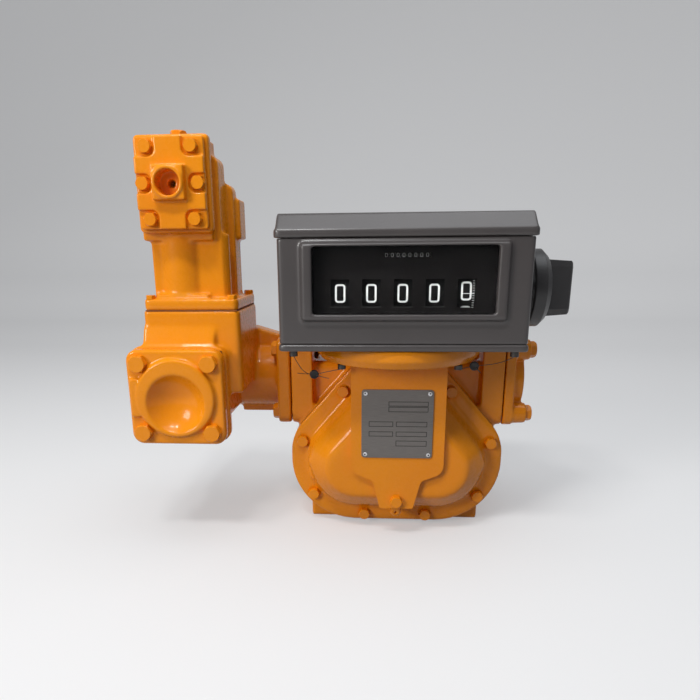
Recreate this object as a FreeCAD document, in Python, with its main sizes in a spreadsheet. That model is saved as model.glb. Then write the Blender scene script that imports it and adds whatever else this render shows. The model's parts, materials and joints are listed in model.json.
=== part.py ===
import FreeCAD, Part
import math
import os
import Sketcher
from types import SimpleNamespace
from FreeCAD import Placement, Rotation, Vector

# Rotary fuel flow meter with strainer, air eliminator and reset register.
# Millimetres. Origin at the centre of the foot bolts on the base plane,
# +X towards the outlet, +Y to the back, +Z up. The dials face -Y.

SIZES = {
    # meter housing
    "case_half_width": 132.0,
    "case_half_depth": 56.0,
    "case_floor": 5.0,
    "case_top": 210.0,
    "case_shoulder": 118.5,
    "case_top_half": 52.0,
    "case_low_round": 82.0,
    "case_side_round": 58.0,
    "case_top_round": 16.0,
    "chamber_half_length": 42.0,
    "foot_half_span": 109.0,
    "foot_inner": 62.0,
    "foot_half_depth": 50.0,
    "foot_height": 25.0,
    "foot_bolt_x": 92.0,
    "foot_bolt_y": 36.0,
    "foot_bolt_bore": 5.0,
    "foot_bolt_depth": 14.0,
    # ports
    "port_height": 184.0,
    "port_bore": 38.0,
    "inlet_bore": 39.0,
    "inlet_bore_depth": 14.0,
    "inlet_bolt_bore": 4.6,
    "outlet_bore": 40.0,
    "flange_half": 55.0,
    "flange_thick": 27.0,
    "flange_round": 12.0,
    "flange_bolt_pitch": 40.5,
    "gasket_thick": 1.5,
    "neck_half_depth": 44.0,
    "neck_inner": 40.0,
    "neck_low": 139.0,
    "neck_top": 209.0,
    "throat_bore": 24.0,
    # rotors
    "rotor_pitch": 45.0,
    "lobe_radius": 10.0,
    "lobe_count": 4.0,
    "rotor_running_gap": 0.4,
    "rotor_end_gap": 0.4,
    "displacer_x": 56.0,
    "displacer_z": 80.0,
    "rotor_shaft": 9.0,
    "shaft_running_gap": 0.05,
    "bearing_outer": 14.0,
    "seat_gap": 0.1,
    "plate_radius": 57.0,
    "gear_teeth": 36.0,
    "gear_width": 9.0,
    "gear_backlash": 0.5,
    # front and rear covers
    "cover_gap": 1.0,
    "cover_rim": 12.0,
    "dome_inset": 21.0,
    "dome_low_height": 20.0,
    "dome_high_height": 15.0,
    "cover_bolt_head": 6.5,
    "cover_bolt_head_height": 6.0,
    "cover_bolt_shank": 4.0,
    "cover_bolt_reach": 18.0,
    "bolt_hole_gap": 0.4,
    # drive through the front cover
    "drive_shaft_radius": 6.0,
    "gland_radius": 15.0,
    "mitre_y": -92.0,
    "mitre_pitch": 12.0,
    "mitre_teeth": 16.0,
    "mitre_face": 5.0,
    "mitre_backlash": 0.7,
    "register_shaft_radius": 4.5,
    "gear_bay_half": 46.0,
    "gear_bay_floor": 100.0,
    "gear_bay_back": -77.0,
    # dust cover and nameplate
    "dust_front": -110.0,
    "dust_sheet": 3.0,
    "dust_half_width": 55.0,
    "dust_top": 219.5,
    "dust_shoulder": 86.0,
    "dust_neck_half": 29.0,
    "dust_neck_z": 76.0,
    "dust_tip_half": 20.0,
    "dust_tip_z": 40.0,
    "dust_bolt_z": 50.0,
    "seal_boss_z": 32.0,
    "name_half_width": 41.5,
    "name_low": 106.0,
    "name_high": 189.0,
    "name_thick": 1.5,
    # adapter
    "adapter_y": -60.0,
    "adapter_radius": 98.0,
    "adapter_low_radius": 92.0,
    "adapter_floor": 220.0,
    "adapter_rim": 229.0,
    "adapter_screw_x": 65.0,
    "adapter_screw_y": -120.0,
    # register
    "register_floor": 241.0,
    "register_front": -160.0,
    "register_back": 5.0,
    "base_half_width": 130.0,
    "base_thick": 8.0,
    "case_box_half": 129.0,
    "case_box_top": 356.5,
    "case_wall": 3.0,
    "bezel_half": 106.0,
    "bezel_low": 272.0,
    "bezel_high": 353.0,
    "bezel_proud": 6.0,
    "window_half": 93.0,
    "window_low": 280.0,
    "window_high": 348.0,
    "lid_half": 132.0,
    "lid_lip": 7.5,
    "lid_rise": 17.0,
    "lid_slope": 17.0,
    "lid_end_draft": 4.0,
    "glass_thick": 3.0,
    "dial_y": -150.5,
    "dial_thick": 1.5,
    "wheel_y": -107.0,
    "wheel_z": 300.5,
    "wheel_radius": 40.0,
    "wheel_width": 24.0,
    "wheel_pitch": 32.5,
    "wheel_shaft_radius": 4.0,
    "digit_window_half": 9.5,
    "digit_window_rise": 14.5,
    "total_y": -137.0,
    "total_z": 339.0,
    "total_radius": 7.4,
    "total_width": 4.8,
    "total_pitch": 6.0,
    "total_middle": 3.5,
    "total_shaft_radius": 1.5,
    # reset knob
    "knob_y": -81.0,
    "knob_z": 301.5,
    "knob_radius": 43.0,
    "knob_back": 141.0,
    "knob_rim": 160.0,
    "knob_face": 191.0,
    "grip_half": 31.5,
    "grip_thick": 8.0,
    "knob_stem": 6.0,
    "collar_radius": 15.0,
    "collar_length": 12.0,
    # strainer
    "strainer_x": -252.0,
    "strainer_cover_half": 55.0,
    "strainer_cover_front": -140.0,
    "strainer_cover_thick": 14.0,
    "strainer_round": 13.0,
    "strainer_bolt_pitch": 40.0,
    "strainer_boss_radius": 46.5,
    "strainer_boss_proud": 5.0,
    "dish_radius": 34.0,
    "dish_drop": 6.0,
    "dish_depth": 17.0,
    "dish_wall": 6.0,
    "strainer_bore": 41.0,
    "strainer_back": 44.0,
    "strainer_wall": 8.0,
    "strainer_top": 279.0,
    "basket_radius": 36.0,
    "basket_wall": 1.5,
    "pipe_radius": 42.0,
    "strainer_flange_thick": 17.0,
    "m10_head": 9.0,
    "m10_head_height": 7.0,
    "m10_shank": 5.0,
    # air eliminator
    "tower_left": -290.0,
    "tower_right": -182.0,
    "tower_front": -115.0,
    "tower_back": -12.0,
    "tower_flange_thick": 12.0,
    "tower_bolt_edge": 7.0,
    "m6_head": 5.0,
    "m6_head_height": 4.5,
    "m6_shank": 3.0,
    "column_left": -280.0,
    "column_right": -191.0,
    "column_front": -102.0,
    "column_back": -34.0,
    "column_wall": 8.0,
    "column_step": 30.0,
    "lobe_step": 8.0,
    "vent_x": -243.5,
    "vent_z": 413.5,
    "vent_half_width": 37.0,
    "vent_half_height": 46.0,
    "vent_cover_front": -130.0,
    "vent_cover_thick": 11.0,
    "vent_seat_margin": 3.5,
    "vent_seat_back": -108.0,
    "vent_bolt_x": 24.0,
    "vent_bolt_middle_x": 29.5,
    "vent_pocket_round": 7.0,
    "vent_bolt_z": 36.0,
    "vent_boss_half": 17.5,
    "vent_boss_front": -138.0,
    "vent_ring_radius": 16.5,
    "vent_ring_front": -140.0,
    "vent_bore": 13.0,
    "vent_bore_depth": 16.0,
    "orifice_radius": 4.0,
    "float_radius": 23.0,
    "float_height": 44.0,
    "float_y": -68.0,
    "float_low": 300.0,
    "lever_pivot_y": -84.0,
    "lever_pivot_z": 388.0,
    "lever_pin_radius": 2.5,
    "lever_thick": 4.0,
    "fork_gap": 0.3,
    # seals
    "seal_radius": 5.2,
    "seal_thick": 3.6,
    "wire_radius": 0.4,
}


class Size:
    """A size that carries its number and the expression that gives it."""

    def __init__(self, value, text):
        self.value = value
        self.text = text

    def __add__(self, other):
        other = as_size(other)
        return Size(self.value + other.value, "(%s + %s)" % (self.text, other.text))

    def __sub__(self, other):
        other = as_size(other)
        return Size(self.value - other.value, "(%s - %s)" % (self.text, other.text))

    def __mul__(self, other):
        other = as_size(other)
        return Size(self.value * other.value, "(%s * %s)" % (self.text, other.text))

    def __truediv__(self, other):
        other = as_size(other)
        return Size(self.value / other.value, "(%s / %s)" % (self.text, other.text))

    def __radd__(self, other):
        return as_size(other) + self

    def __rsub__(self, other):
        return as_size(other) - self

    def __rmul__(self, other):
        return as_size(other) * self

    def __neg__(self):
        return Size(-self.value, "(-1 * %s)" % self.text)

    def __float__(self):
        return float(self.value)


def as_size(item):
    return item if isinstance(item, Size) else Size(float(item), repr(float(item)))


def root(item):
    return Size(math.sqrt(item.value), "sqrt(%s)" % item.text)


doc = FreeCAD.newDocument("FuelFlowMeter")
sheet = doc.addObject("Spreadsheet::Sheet", "Sizes")
for row, (alias, number) in enumerate(SIZES.items(), start=1):
    sheet.set("A%d" % row, alias)
    sheet.set("B%d" % row, str(number))
    sheet.setAlias("B%d" % row, alias)
doc.recompute()
v = SimpleNamespace(**{name: Size(number, "Sizes." + name) for name, number in SIZES.items()})

# Named places that several pieces share.
FRONT_FACE = -v.case_half_depth
BACK_FACE = v.case_half_depth
BLOCKER_Z = v.displacer_z + root(4 * v.rotor_pitch * v.rotor_pitch - v.displacer_x * v.displacer_x)
ROTOR_AXES = ((-v.displacer_x, v.displacer_z), (v.displacer_x, v.displacer_z), (as_size(0), BLOCKER_Z))
CHAMBER_RADIUS = v.rotor_pitch + v.lobe_radius + v.rotor_running_gap
COVER_FACE = FRONT_FACE - v.cover_gap - v.cover_rim
DOME_FACE = COVER_FACE - v.dome_low_height - v.dome_high_height
COVER_BOLTS = ((117, 112), (104, 41), (39, 14), (66, 177), (42, 200))
REGISTER_BASE_TOP = v.register_floor + v.base_thick
STRAINER_FACE = v.strainer_cover_front + v.strainer_cover_thick
DUST_BACK = v.dust_front + v.dust_sheet
TOWER_SEAT = v.strainer_top + v.gasket_thick
TOWER_FLANGE_TOP = TOWER_SEAT + v.tower_flange_thick
VENT_SEAT = v.vent_cover_front + v.vent_cover_thick
PORT_CORNERS = [(a * v.flange_bolt_pitch, v.port_height + b * v.flange_bolt_pitch)
                for a in (-1, 1) for b in (-1, 1)]

PLANES = {"X": "YZ_Plane", "Y": "XZ_Plane", "Z": "XY_Plane"}
NODES = []


def bind(item, field, size):
    """Gives a property the expression of a size."""
    size = as_size(size)
    item.setExpression(field, size.text)


def node(item, label):
    """Names a finished sub-part."""
    item.Label = label
    NODES.append(item)
    return item


def box(x, y, z):
    """A block from three (low, high) pairs."""
    item = doc.addObject("Part::Box", "Block")
    for field, (low, high) in zip(("Length", "Width", "Height"), (x, y, z)):
        bind(item, field, as_size(high) - low)
    for axis, (low, high) in zip("xyz", (x, y, z)):
        bind(item, "Placement.Base." + axis, low)
    return item


def cylinder(axis, centre, radius, low, high):
    """A cylinder along X, Y or Z; centre gives the other two coordinates in order."""
    item = doc.addObject("Part::Cylinder", "Round")
    bind(item, "Radius", radius)
    bind(item, "Height", as_size(high) - low)
    turn = {"X": Rotation(Vector(0, 1, 0), 90), "Y": Rotation(Vector(1, 0, 0), -90), "Z": Rotation()}[axis]
    item.Placement = Placement(Vector(), turn)
    where = list(centre)
    where.insert("XYZ".index(axis), low)
    for name, value in zip("xyz", where):
        bind(item, "Placement.Base." + name, value)
    return item


def cone(axis, centre, radius_low, radius_high, low, high):
    """A cone along Y or Z with a radius at each end."""
    item = doc.addObject("Part::Cone", "Taper")
    bind(item, "Radius1", radius_low)
    bind(item, "Radius2", radius_high)
    bind(item, "Height", as_size(high) - low)
    turn = {"X": Rotation(Vector(0, 1, 0), 90), "Y": Rotation(Vector(1, 0, 0), -90), "Z": Rotation()}[axis]
    item.Placement = Placement(Vector(), turn)
    where = list(centre)
    where.insert("XYZ".index(axis), low)
    for name, value in zip("xyz", where):
        bind(item, "Placement.Base." + name, value)
    return item


def fuse(items):
    item = doc.addObject("Part::MultiFuse", "Joined")
    item.Shapes = items
    return item


def cut(base, tools):
    item = doc.addObject("Part::Cut", "Cut")
    item.Base = base
    item.Tool = tools[0] if len(tools) == 1 else fuse(tools)
    return item


def common(first, second):
    item = doc.addObject("Part::MultiCommon", "Shared")
    item.Shapes = [first, second]
    return item


def group(items):
    """Several separate solids in one sub-part."""
    item = doc.addObject("Part::Compound", "Set")
    item.Links = items
    return item


class Casting:
    """A PartDesign body built from sketches on its own origin planes."""

    def __init__(self, name):
        self.body = doc.addObject("PartDesign::Body", name)
        self.body.Label = name

    def sketch(self, axis, at, loops):
        item = self.body.newObject("Sketcher::SketchObject", "Outline")
        role = PLANES[axis]
        plane = [one for one in self.body.Origin.OriginFeatures if one.Role == role][0]
        item.AttachmentSupport = [(plane, "")]
        item.MapMode = "FlatFace"
        bind(item, "AttachmentOffset.Base.z", -as_size(at) if axis == "Y" else at)
        for loop in loops:
            if loop[0] == "circle":
                draw_circle(item, *loop[1:])
            else:
                draw_polygon(item, loop[1])
        return item

    def pad(self, axis, low, high, loops, taper=0, grow_low=False):
        """Adds material between two planes; the sketch lies on the low one, or on the high one."""
        item = self.body.newObject("PartDesign::Pad", "Pad")
        item.Profile = self.sketch(axis, high if grow_low else low, loops)
        bind(item, "Length", as_size(high) - low)
        item.Reversed = (axis == "Y") != grow_low
        item.TaperAngle = -taper
        return self.done(item)

    def pocket(self, axis, low, high, loops):
        """Removes material between two planes."""
        item = self.body.newObject("PartDesign::Pocket", "Pocket")
        item.Profile = self.sketch(axis, low, loops)
        bind(item, "Length", as_size(high) - low)
        item.Reversed = axis != "Y"
        return self.done(item)

    def fillet(self, radius, chooser, kind="Fillet"):
        shape = self.body.Tip.Shape
        names = ["Edge%d" % (i + 1) for i, edge in enumerate(shape.Edges) if chooser(edge)]
        if not names:
            raise RuntimeError("no edges chosen on " + self.body.Label)
        item = self.body.newObject("PartDesign::" + kind, kind)
        item.Base = (self.previous, names)
        bind(item, "Radius" if kind == "Fillet" else "Size", radius)
        return self.done(item)

    def done(self, item):
        doc.recompute()
        if item.Shape.isNull() or "Invalid" in item.State or "Error" in item.State:
            raise RuntimeError("%s failed on %s" % (item.Name, self.body.Label))
        self.previous = item
        return item

    def finish(self, label):
        return node(self.body, label)


def place_point(item, geometry, position, x, y):
    """Ties one point of a sketch to its two coordinates."""
    for kind, value in (("DistanceX", as_size(x)), ("DistanceY", as_size(y))):
        index = item.addConstraint(Sketcher.Constraint(kind, -1, 1, geometry, position, value.value))
        bind(item, "Constraints[%d]" % index, value)


def corner_arc(before, corner, after, radius):
    """Both ends, the middle point and the turning sense of the arc that rounds a corner."""
    back, ahead = (before - corner).normalize(), (after - corner).normalize()
    half_angle = back.getAngle(ahead) / 2
    reach = radius / math.tan(half_angle)
    centre = corner + (back + ahead).normalize() * (radius / math.sin(half_angle))
    left_turn = (corner - before).cross(after - corner).z > 0
    return corner + back * reach, corner + ahead * reach, centre, left_turn


def draw_polygon(item, points):
    """A closed outline of straight runs; a third number on a corner is the radius that rounds it."""
    count = len(points)
    spots = [Vector(float(point[0]), float(point[1]), 0) for point in points]
    radii = [as_size(point[2]) if len(point) > 2 else None for point in points]
    arcs = [corner_arc(spots[i - 1], spots[i], spots[(i + 1) % count], radii[i].value) if radii[i] else None
            for i in range(count)]
    lines = []
    for i in range(count):
        after = (i + 1) % count
        start = arcs[i][1] if arcs[i] else spots[i]
        end = arcs[after][0] if arcs[after] else spots[after]
        lines.append(item.addGeometry(Part.LineSegment(start, end), False))
    for i in range(count):
        x, y = points[i][0], points[i][1]
        if not arcs[i]:
            item.addConstraint(Sketcher.Constraint("Coincident", lines[i - 1], 2, lines[i], 1))
            place_point(item, lines[i], 1, x, y)
            continue
        first, last, centre, left_turn = arcs[i]
        start, end = (first, last) if left_turn else (last, first)
        angles = [math.atan2(spot.y - centre.y, spot.x - centre.x) for spot in (start, end)]
        ring = Part.Circle(centre, Vector(0, 0, 1), radii[i].value)
        arc = item.addGeometry(Part.ArcOfCircle(ring, angles[0], angles[1]), False)
        entry, leaving = (1, 2) if left_turn else (2, 1)
        corner = item.addGeometry(Part.Point(spots[i]), True)
        place_point(item, corner, 1, x, y)
        item.addConstraint(Sketcher.Constraint("Tangent", lines[i - 1], 2, arc, entry))
        item.addConstraint(Sketcher.Constraint("Tangent", lines[i], 1, arc, leaving))
        item.addConstraint(Sketcher.Constraint("PointOnObject", corner, 1, lines[i - 1]))
        item.addConstraint(Sketcher.Constraint("PointOnObject", corner, 1, lines[i]))
        index = item.addConstraint(Sketcher.Constraint("Radius", arc, radii[i].value))
        bind(item, "Constraints[%d]" % index, radii[i])


def draw_circle(item, x, y, radius):
    x, y, radius = as_size(x), as_size(y), as_size(radius)
    ring = item.addGeometry(Part.Circle(Vector(x.value, y.value, 0), Vector(0, 0, 1), radius.value), False)
    for kind, value in (("DistanceX", x), ("DistanceY", y)):
        index = item.addConstraint(Sketcher.Constraint(kind, -1, 1, ring, 3, value.value))
        bind(item, "Constraints[%d]" % index, value)
    index = item.addConstraint(Sketcher.Constraint("Radius", ring, radius.value))
    bind(item, "Constraints[%d]" % index, radius)


def poly(points):
    return ("poly", points)


def rect(x0, x1, y0, y1, radius=None):
    corners = [(x0, y0), (x1, y0), (x1, y1), (x0, y1)]
    return ("poly", corners if radius is None else [(x, y, radius) for x, y in corners])


def circle(x, y, radius):
    return ("circle", x, y, radius)


def lies_at(edge, axis, value):
    """True for an edge that lies in a plane across an axis."""
    low = getattr(edge.BoundBox, axis + "Min")
    high = getattr(edge.BoundBox, axis + "Max")
    return abs(low - float(value)) < 0.01 and abs(high - float(value)) < 0.01


def case_outline(inset=0):
    """Front outline of the housing: wide and round below, with sloping shoulders."""
    half = v.case_half_width - inset
    top = v.case_top_half - inset * 0.4
    shoulder = v.case_shoulder - inset * 0.4
    low = v.case_floor + inset
    high = v.case_top - inset
    round_low = v.case_low_round - inset
    round_side = v.case_side_round - inset
    return [(-half, low, round_low), (half, low, round_low), (half, shoulder, round_side),
            (top, high, v.case_top_round), (-top, high, v.case_top_round), (-half, shoulder, round_side)]


def hex_bolt(axis, centre, seat, away, head, head_height, shank, reach):
    """A hexagon bolt: its head stands on the seat plane and points away from it."""
    turn = {"X": Rotation(Vector(0, 1, 0), 90), "Y": Rotation(Vector(1, 0, 0), -90), "Z": Rotation()}[axis]
    seat = as_size(seat)
    low, high = (seat, seat + head_height) if away > 0 else (seat - head_height, seat)
    prism = doc.addObject("Part::Prism", "Hexagon")
    prism.Polygon = 6
    bind(prism, "Circumradius", head * 1.1547)
    bind(prism, "Height", head_height)
    prism.Placement = Placement(Vector(), turn)
    where = list(centre)
    where.insert("XYZ".index(axis), low)
    for name, value in zip("xyz", where):
        bind(prism, "Placement.Base." + name, value)
    wide, slim = head * 1.5, head * 0.98
    crown = cone(axis, centre, wide if away > 0 else slim, slim if away > 0 else wide, low, high)
    top = common(prism, crown)
    start, end = (seat - reach, seat) if away > 0 else (seat, seat + reach)
    return fuse([top, cylinder(axis, centre, shank, start, end)])


def feature(label, shape):
    """A sub-part whose shape is worked out directly."""
    item = doc.addObject("Part::Feature", "Made")
    item.Shape = shape
    item.Placement = Placement()
    return node(item, label)


# Meter housing: three rotor bores, two square port flanges and two feet.
def meter_housing():
    part = Casting("meter_housing")
    part.pad("Y", FRONT_FACE, BACK_FACE, [poly(case_outline())])
    low = v.port_height - v.flange_half
    high = v.port_height + v.flange_half
    for side in (-1, 1):
        edge = side * v.case_half_width
        inner = side * (v.case_half_width - v.flange_thick)
        start, end = (edge, inner) if side < 0 else (inner, edge)
        part.pad("X", start, end, [rect(-v.flange_half, v.flange_half, low, high, v.flange_round)])
        ends = sorted((inner, side * v.neck_inner), key=float)
        part.pad("X", ends[0], ends[1], [rect(-v.neck_half_depth, v.neck_half_depth, v.neck_low, v.neck_top, 8)])
    for side in (-1, 1):
        ends = sorted((side * v.foot_half_span, side * v.foot_inner), key=float)
        part.pad("Z", 0, v.foot_height + 8, [rect(ends[0], ends[1], -v.foot_half_depth, v.foot_half_depth)])
    for x, z in ROTOR_AXES:
        radius = CHAMBER_RADIUS if float(z) < float(BLOCKER_Z) else v.rotor_pitch + v.rotor_running_gap
        part.pocket("Y", FRONT_FACE, BACK_FACE, [circle(x, z, radius)])
        part.pocket("Y", FRONT_FACE, -v.chamber_half_length, [circle(x, z, v.plate_radius)])
        part.pocket("Y", v.chamber_half_length, BACK_FACE, [circle(x, z, v.plate_radius)])
    inside = v.chamber_half_length - 6
    throat_low, throat_high = v.displacer_z + 25, v.port_height - 20
    for side in (-1, 1):
        mouth, inner = side * v.case_half_width, side * (v.case_half_width - v.flange_thick)
        ends = sorted((inner, mouth), key=float)
        part.pocket("X", ends[0], ends[1], [circle(0, v.port_height, v.port_bore)])
        ends = sorted((side * 38, inner), key=float)
        part.pocket("X", ends[0], ends[1], [circle(0, v.port_height, v.throat_bore)])
        ends = sorted((side * 44, side * 96), key=float)
        part.pocket("Y", -inside, inside, [rect(ends[0], ends[1], throat_low, throat_high)])
    part.pocket("Y", -inside, inside, [rect(-24, 24, v.case_floor + 24, v.displacer_z + 20)])
    hole = v.cover_bolt_shank + v.seat_gap
    bolts = [circle(side * x, z, hole) for x, z in COVER_BOLTS for side in (-1, 1)]
    part.pocket("Y", FRONT_FACE, FRONT_FACE + v.cover_bolt_reach, bolts)
    part.pocket("Y", BACK_FACE - v.cover_bolt_reach, BACK_FACE, bolts)
    hole = v.m10_shank + v.seat_gap
    ports = [circle(y, z, hole) for y, z in PORT_CORNERS]
    part.pocket("X", -v.case_half_width, -v.case_half_width + 22, ports)
    part.pocket("X", v.case_half_width - 22, v.case_half_width, ports)
    feet = [circle(a * v.foot_bolt_x, b * v.foot_bolt_y, v.foot_bolt_bore) for a in (-1, 1) for b in (-1, 1)]
    part.pocket("Z", 0, v.foot_bolt_depth, feet)
    part.finish("meter_housing")


# A cover with a flat rim and a two-step dome, mirrored for the back.
def cover_shape(name, side):
    part = Casting(name)
    inner = FRONT_FACE - v.cover_gap
    rim = (COVER_FACE, inner) if side < 0 else (-inner, -COVER_FACE)
    part.pad("Y", rim[0], rim[1], [poly(case_outline())])
    low_top = COVER_FACE - v.dome_low_height
    steps = ((COVER_FACE, low_top, v.dome_inset, 22), (low_top, DOME_FACE, v.dome_inset + 10, 48))
    for near_face, far_face, inset, taper in steps:
        ends = (far_face, near_face) if side < 0 else (-near_face, -far_face)
        part.pad("Y", ends[0], ends[1], [poly(case_outline(inset))], taper=taper, grow_low=side < 0)
    return part


def front_cover():
    part = cover_shape("front_cover", -1)
    face, back = DOME_FACE - 1, FRONT_FACE - v.cover_gap
    part.pocket("Y", face, v.gear_bay_back,
                [rect(-v.gear_bay_half, v.gear_bay_half, v.gear_bay_floor, v.case_top + 2)])
    for x, z in ROTOR_AXES:
        part.pocket("Y", back - v.gear_width - 4, back, [circle(x, z, v.rotor_pitch + 4.5)])
    boss = v.cover_bolt_head + 4.5
    part.pad("Y", DUST_BACK, COVER_FACE, [circle(0, v.dust_bolt_z, boss)])
    part.pad("Y", DUST_BACK + 2, COVER_FACE, [circle(0, v.seal_boss_z, 8)])
    for side in (-1, 1):
        part.pad("Y", COVER_FACE - 17, COVER_FACE, [circle(side * 102, 89, 8)])
        part.pad("Y", COVER_FACE - 17, COVER_FACE, [circle(side * 98, 80, 8)])
    part.pocket("Y", DUST_BACK, DUST_BACK + v.cover_bolt_reach,
                [circle(0, v.dust_bolt_z, v.cover_bolt_shank + v.seat_gap)])
    part.pocket("Y", DUST_BACK + 2, COVER_FACE, [circle(0, v.seal_boss_z - 1, 2.2)])
    part.pocket("Y", v.gear_bay_back - 1, back, [circle(0, BLOCKER_Z, v.gland_radius + v.seat_gap)])
    bolts = [circle(side * x, z, v.cover_bolt_shank + v.bolt_hole_gap) for x, z in COVER_BOLTS for side in (-1, 1)]
    part.pocket("Y", DOME_FACE, back, bolts)
    part.finish("front_cover")


def rear_cover():
    part = cover_shape("rear_cover", 1)
    for x, z in ROTOR_AXES:
        part.pocket("Y", -(FRONT_FACE - v.cover_gap), -(FRONT_FACE - v.cover_gap) + 8, [circle(x, z, 20)])
    bolts = [circle(side * x, z, v.cover_bolt_shank + v.bolt_hole_gap) for x, z in COVER_BOLTS for side in (-1, 1)]
    part.pocket("Y", -(FRONT_FACE - v.cover_gap), -DOME_FACE, bolts)
    part.finish("rear_cover")


# Flat gaskets: one behind each cover, one at each port, one under the tower and one at the strainer cover.
def gaskets():
    pieces = []
    for low in (FRONT_FACE - v.cover_gap, BACK_FACE):
        part = Casting("cover_gasket")
        holes = [circle(side * x, z, v.cover_bolt_shank + v.bolt_hole_gap) for x, z in COVER_BOLTS for side in (-1, 1)]
        part.pad("Y", low, low + v.cover_gap, [poly(case_outline())] + holes)
        for x, z in ROTOR_AXES:
            part.pocket("Y", low, low + v.cover_gap, [circle(x, z, v.plate_radius)])
        pieces.append(part.body)
    for low in (-v.case_half_width - v.gasket_thick, v.case_half_width):
        high = low + v.gasket_thick
        plate = cylinder("X", (0, v.port_height), v.port_bore + 9, low, high)
        pieces.append(cut(plate, [cylinder("X", (0, v.port_height), v.port_bore, low, high)]))
    low, high = v.strainer_top, TOWER_SEAT
    plate = box((v.tower_left + 1.5, v.tower_right - 1.5), (v.tower_front + 1.5, v.tower_back - 1.5), (low, high))
    holes = [cylinder("Z", (x, y), v.m6_shank + v.bolt_hole_gap, low, high) for x, y in tower_bolts()]
    middle = tower_middle()
    pieces.append(cut(plate, holes + [cylinder("Z", middle, v.float_radius + 5, low, high)]))
    low, high = STRAINER_FACE, STRAINER_FACE + v.gasket_thick
    half = v.strainer_cover_half - 3
    plate = box((v.strainer_x - half, v.strainer_x + half), (low, high), (v.port_height - half, v.port_height + half))
    holes = [cylinder("Y", spot, v.m10_shank + v.bolt_hole_gap, low, high) for spot in strainer_bolts()]
    bore = cylinder("Y", (v.strainer_x, v.port_height), v.strainer_bore, low, high)
    pieces.append(cut(plate, holes + [bore]))
    node(group(pieces), "gaskets")


def tower_middle():
    return ((v.tower_left + v.tower_right) / 2, (v.tower_front + v.tower_back) / 2)


def tower_bolts():
    edge = v.tower_bolt_edge
    return [(x, y) for x in (v.tower_left + edge, v.tower_right - edge)
            for y in (v.tower_front + edge, v.tower_back - edge)]


def strainer_bolts():
    pitch = v.strainer_bolt_pitch
    return [(v.strainer_x + a * pitch, v.port_height + b * pitch) for a in (-1, 1) for b in (-1, 1)]


def vent_bolts():
    return [(v.vent_x + a * (v.vent_bolt_x if b else v.vent_bolt_middle_x), v.vent_z + b * v.vent_bolt_z)
            for a in (-1, 1) for b in (-1, 0, 1)]


# Bolts and screws.
def fasteners():
    head, tall, shank = v.cover_bolt_head, v.cover_bolt_head_height, v.cover_bolt_shank
    front, back = [], []
    reach = v.cover_rim + v.cover_gap + v.cover_bolt_reach - 2
    for x, z in COVER_BOLTS:
        for side in (-1, 1):
            front.append(hex_bolt("Y", (side * x, z), COVER_FACE, -1, head, tall, shank, reach))
            back.append(hex_bolt("Y", (side * x, z), -COVER_FACE, 1, head, tall, shank, reach))
    dust = hex_bolt("Y", (0, v.dust_bolt_z), v.dust_front, -1, head, tall, shank, 14)
    node(group(front + back + [dust]), "cover_bolts")
    big = (v.m10_head, v.m10_head_height, v.m10_shank)
    cover = [hex_bolt("Y", spot, v.strainer_cover_front, -1, *big, v.strainer_cover_thick + 12)
             for spot in strainer_bolts()]
    node(group(cover), "strainer_cover_bolts")
    left = -v.case_half_width - v.gasket_thick - v.strainer_flange_thick
    right = v.case_half_width + v.gasket_thick + 29.5
    ports = [hex_bolt("X", spot, left, -1, *big, v.strainer_flange_thick + 18) for spot in PORT_CORNERS]
    ports += [hex_bolt("X", spot, right, 1, *big, 29.5 + 18) for spot in PORT_CORNERS]
    node(group(ports), "flange_bolts")
    tower = [hex_bolt("Z", spot, TOWER_FLANGE_TOP, 1, v.m6_head, v.m6_head_height, v.m6_shank,
                      v.tower_flange_thick + 12)
             for spot in tower_bolts()]
    vent = [hex_bolt("Y", spot, v.vent_cover_front + 4, -1, head, tall, shank, v.vent_cover_thick + 4)
            for spot in vent_bolts()]
    node(group(tower + vent), "air_eliminator_bolts")
    screws = []
    for side in (-1, 1):
        spot = (side * v.adapter_screw_x, v.adapter_screw_y)
        screws.append(fuse([cylinder("Z", spot, 4.5, v.adapter_floor - 5, v.adapter_floor),
                            cylinder("Z", spot, 2.5, v.adapter_floor - 5, v.register_floor + 5)]))
    screws += [fuse([cylinder("Z", (x, y), 4.5, v.register_floor - 7, v.register_floor),
                     cylinder("Z", (x, y), 2.5, v.register_floor - 7, v.register_floor + 6)])
               for x, y in seal_screws()]
    node(group(screws), "sealing_screws")


def seal_screws():
    return ((-116, v.register_front + 15), (119, v.register_front + 15))


# Rotors. The displacement rotors carry lobes; the blocking rotor has pockets that let them pass.
def rotor_phases():
    """Angle of the line from each displacement rotor to the blocking rotor, in degrees."""
    rise = float(BLOCKER_Z - v.displacer_z)
    run = float(v.displacer_x)
    return math.degrees(math.atan2(rise, run)), math.degrees(math.atan2(rise, -run))


def turned_about_y(shape, x, z, angle):
    """Turns a shape anticlockwise as seen from the front about a line along Y."""
    shape = shape.copy()
    shape.rotate(Vector(float(x), 0, float(z)), Vector(0, -1, 0), angle)
    return shape


def round_bar(x, z, radius, low, high):
    return Part.makeCylinder(float(radius), float(high) - float(low), Vector(float(x), float(low), float(z)),
                             Vector(0, 1, 0))


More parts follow.
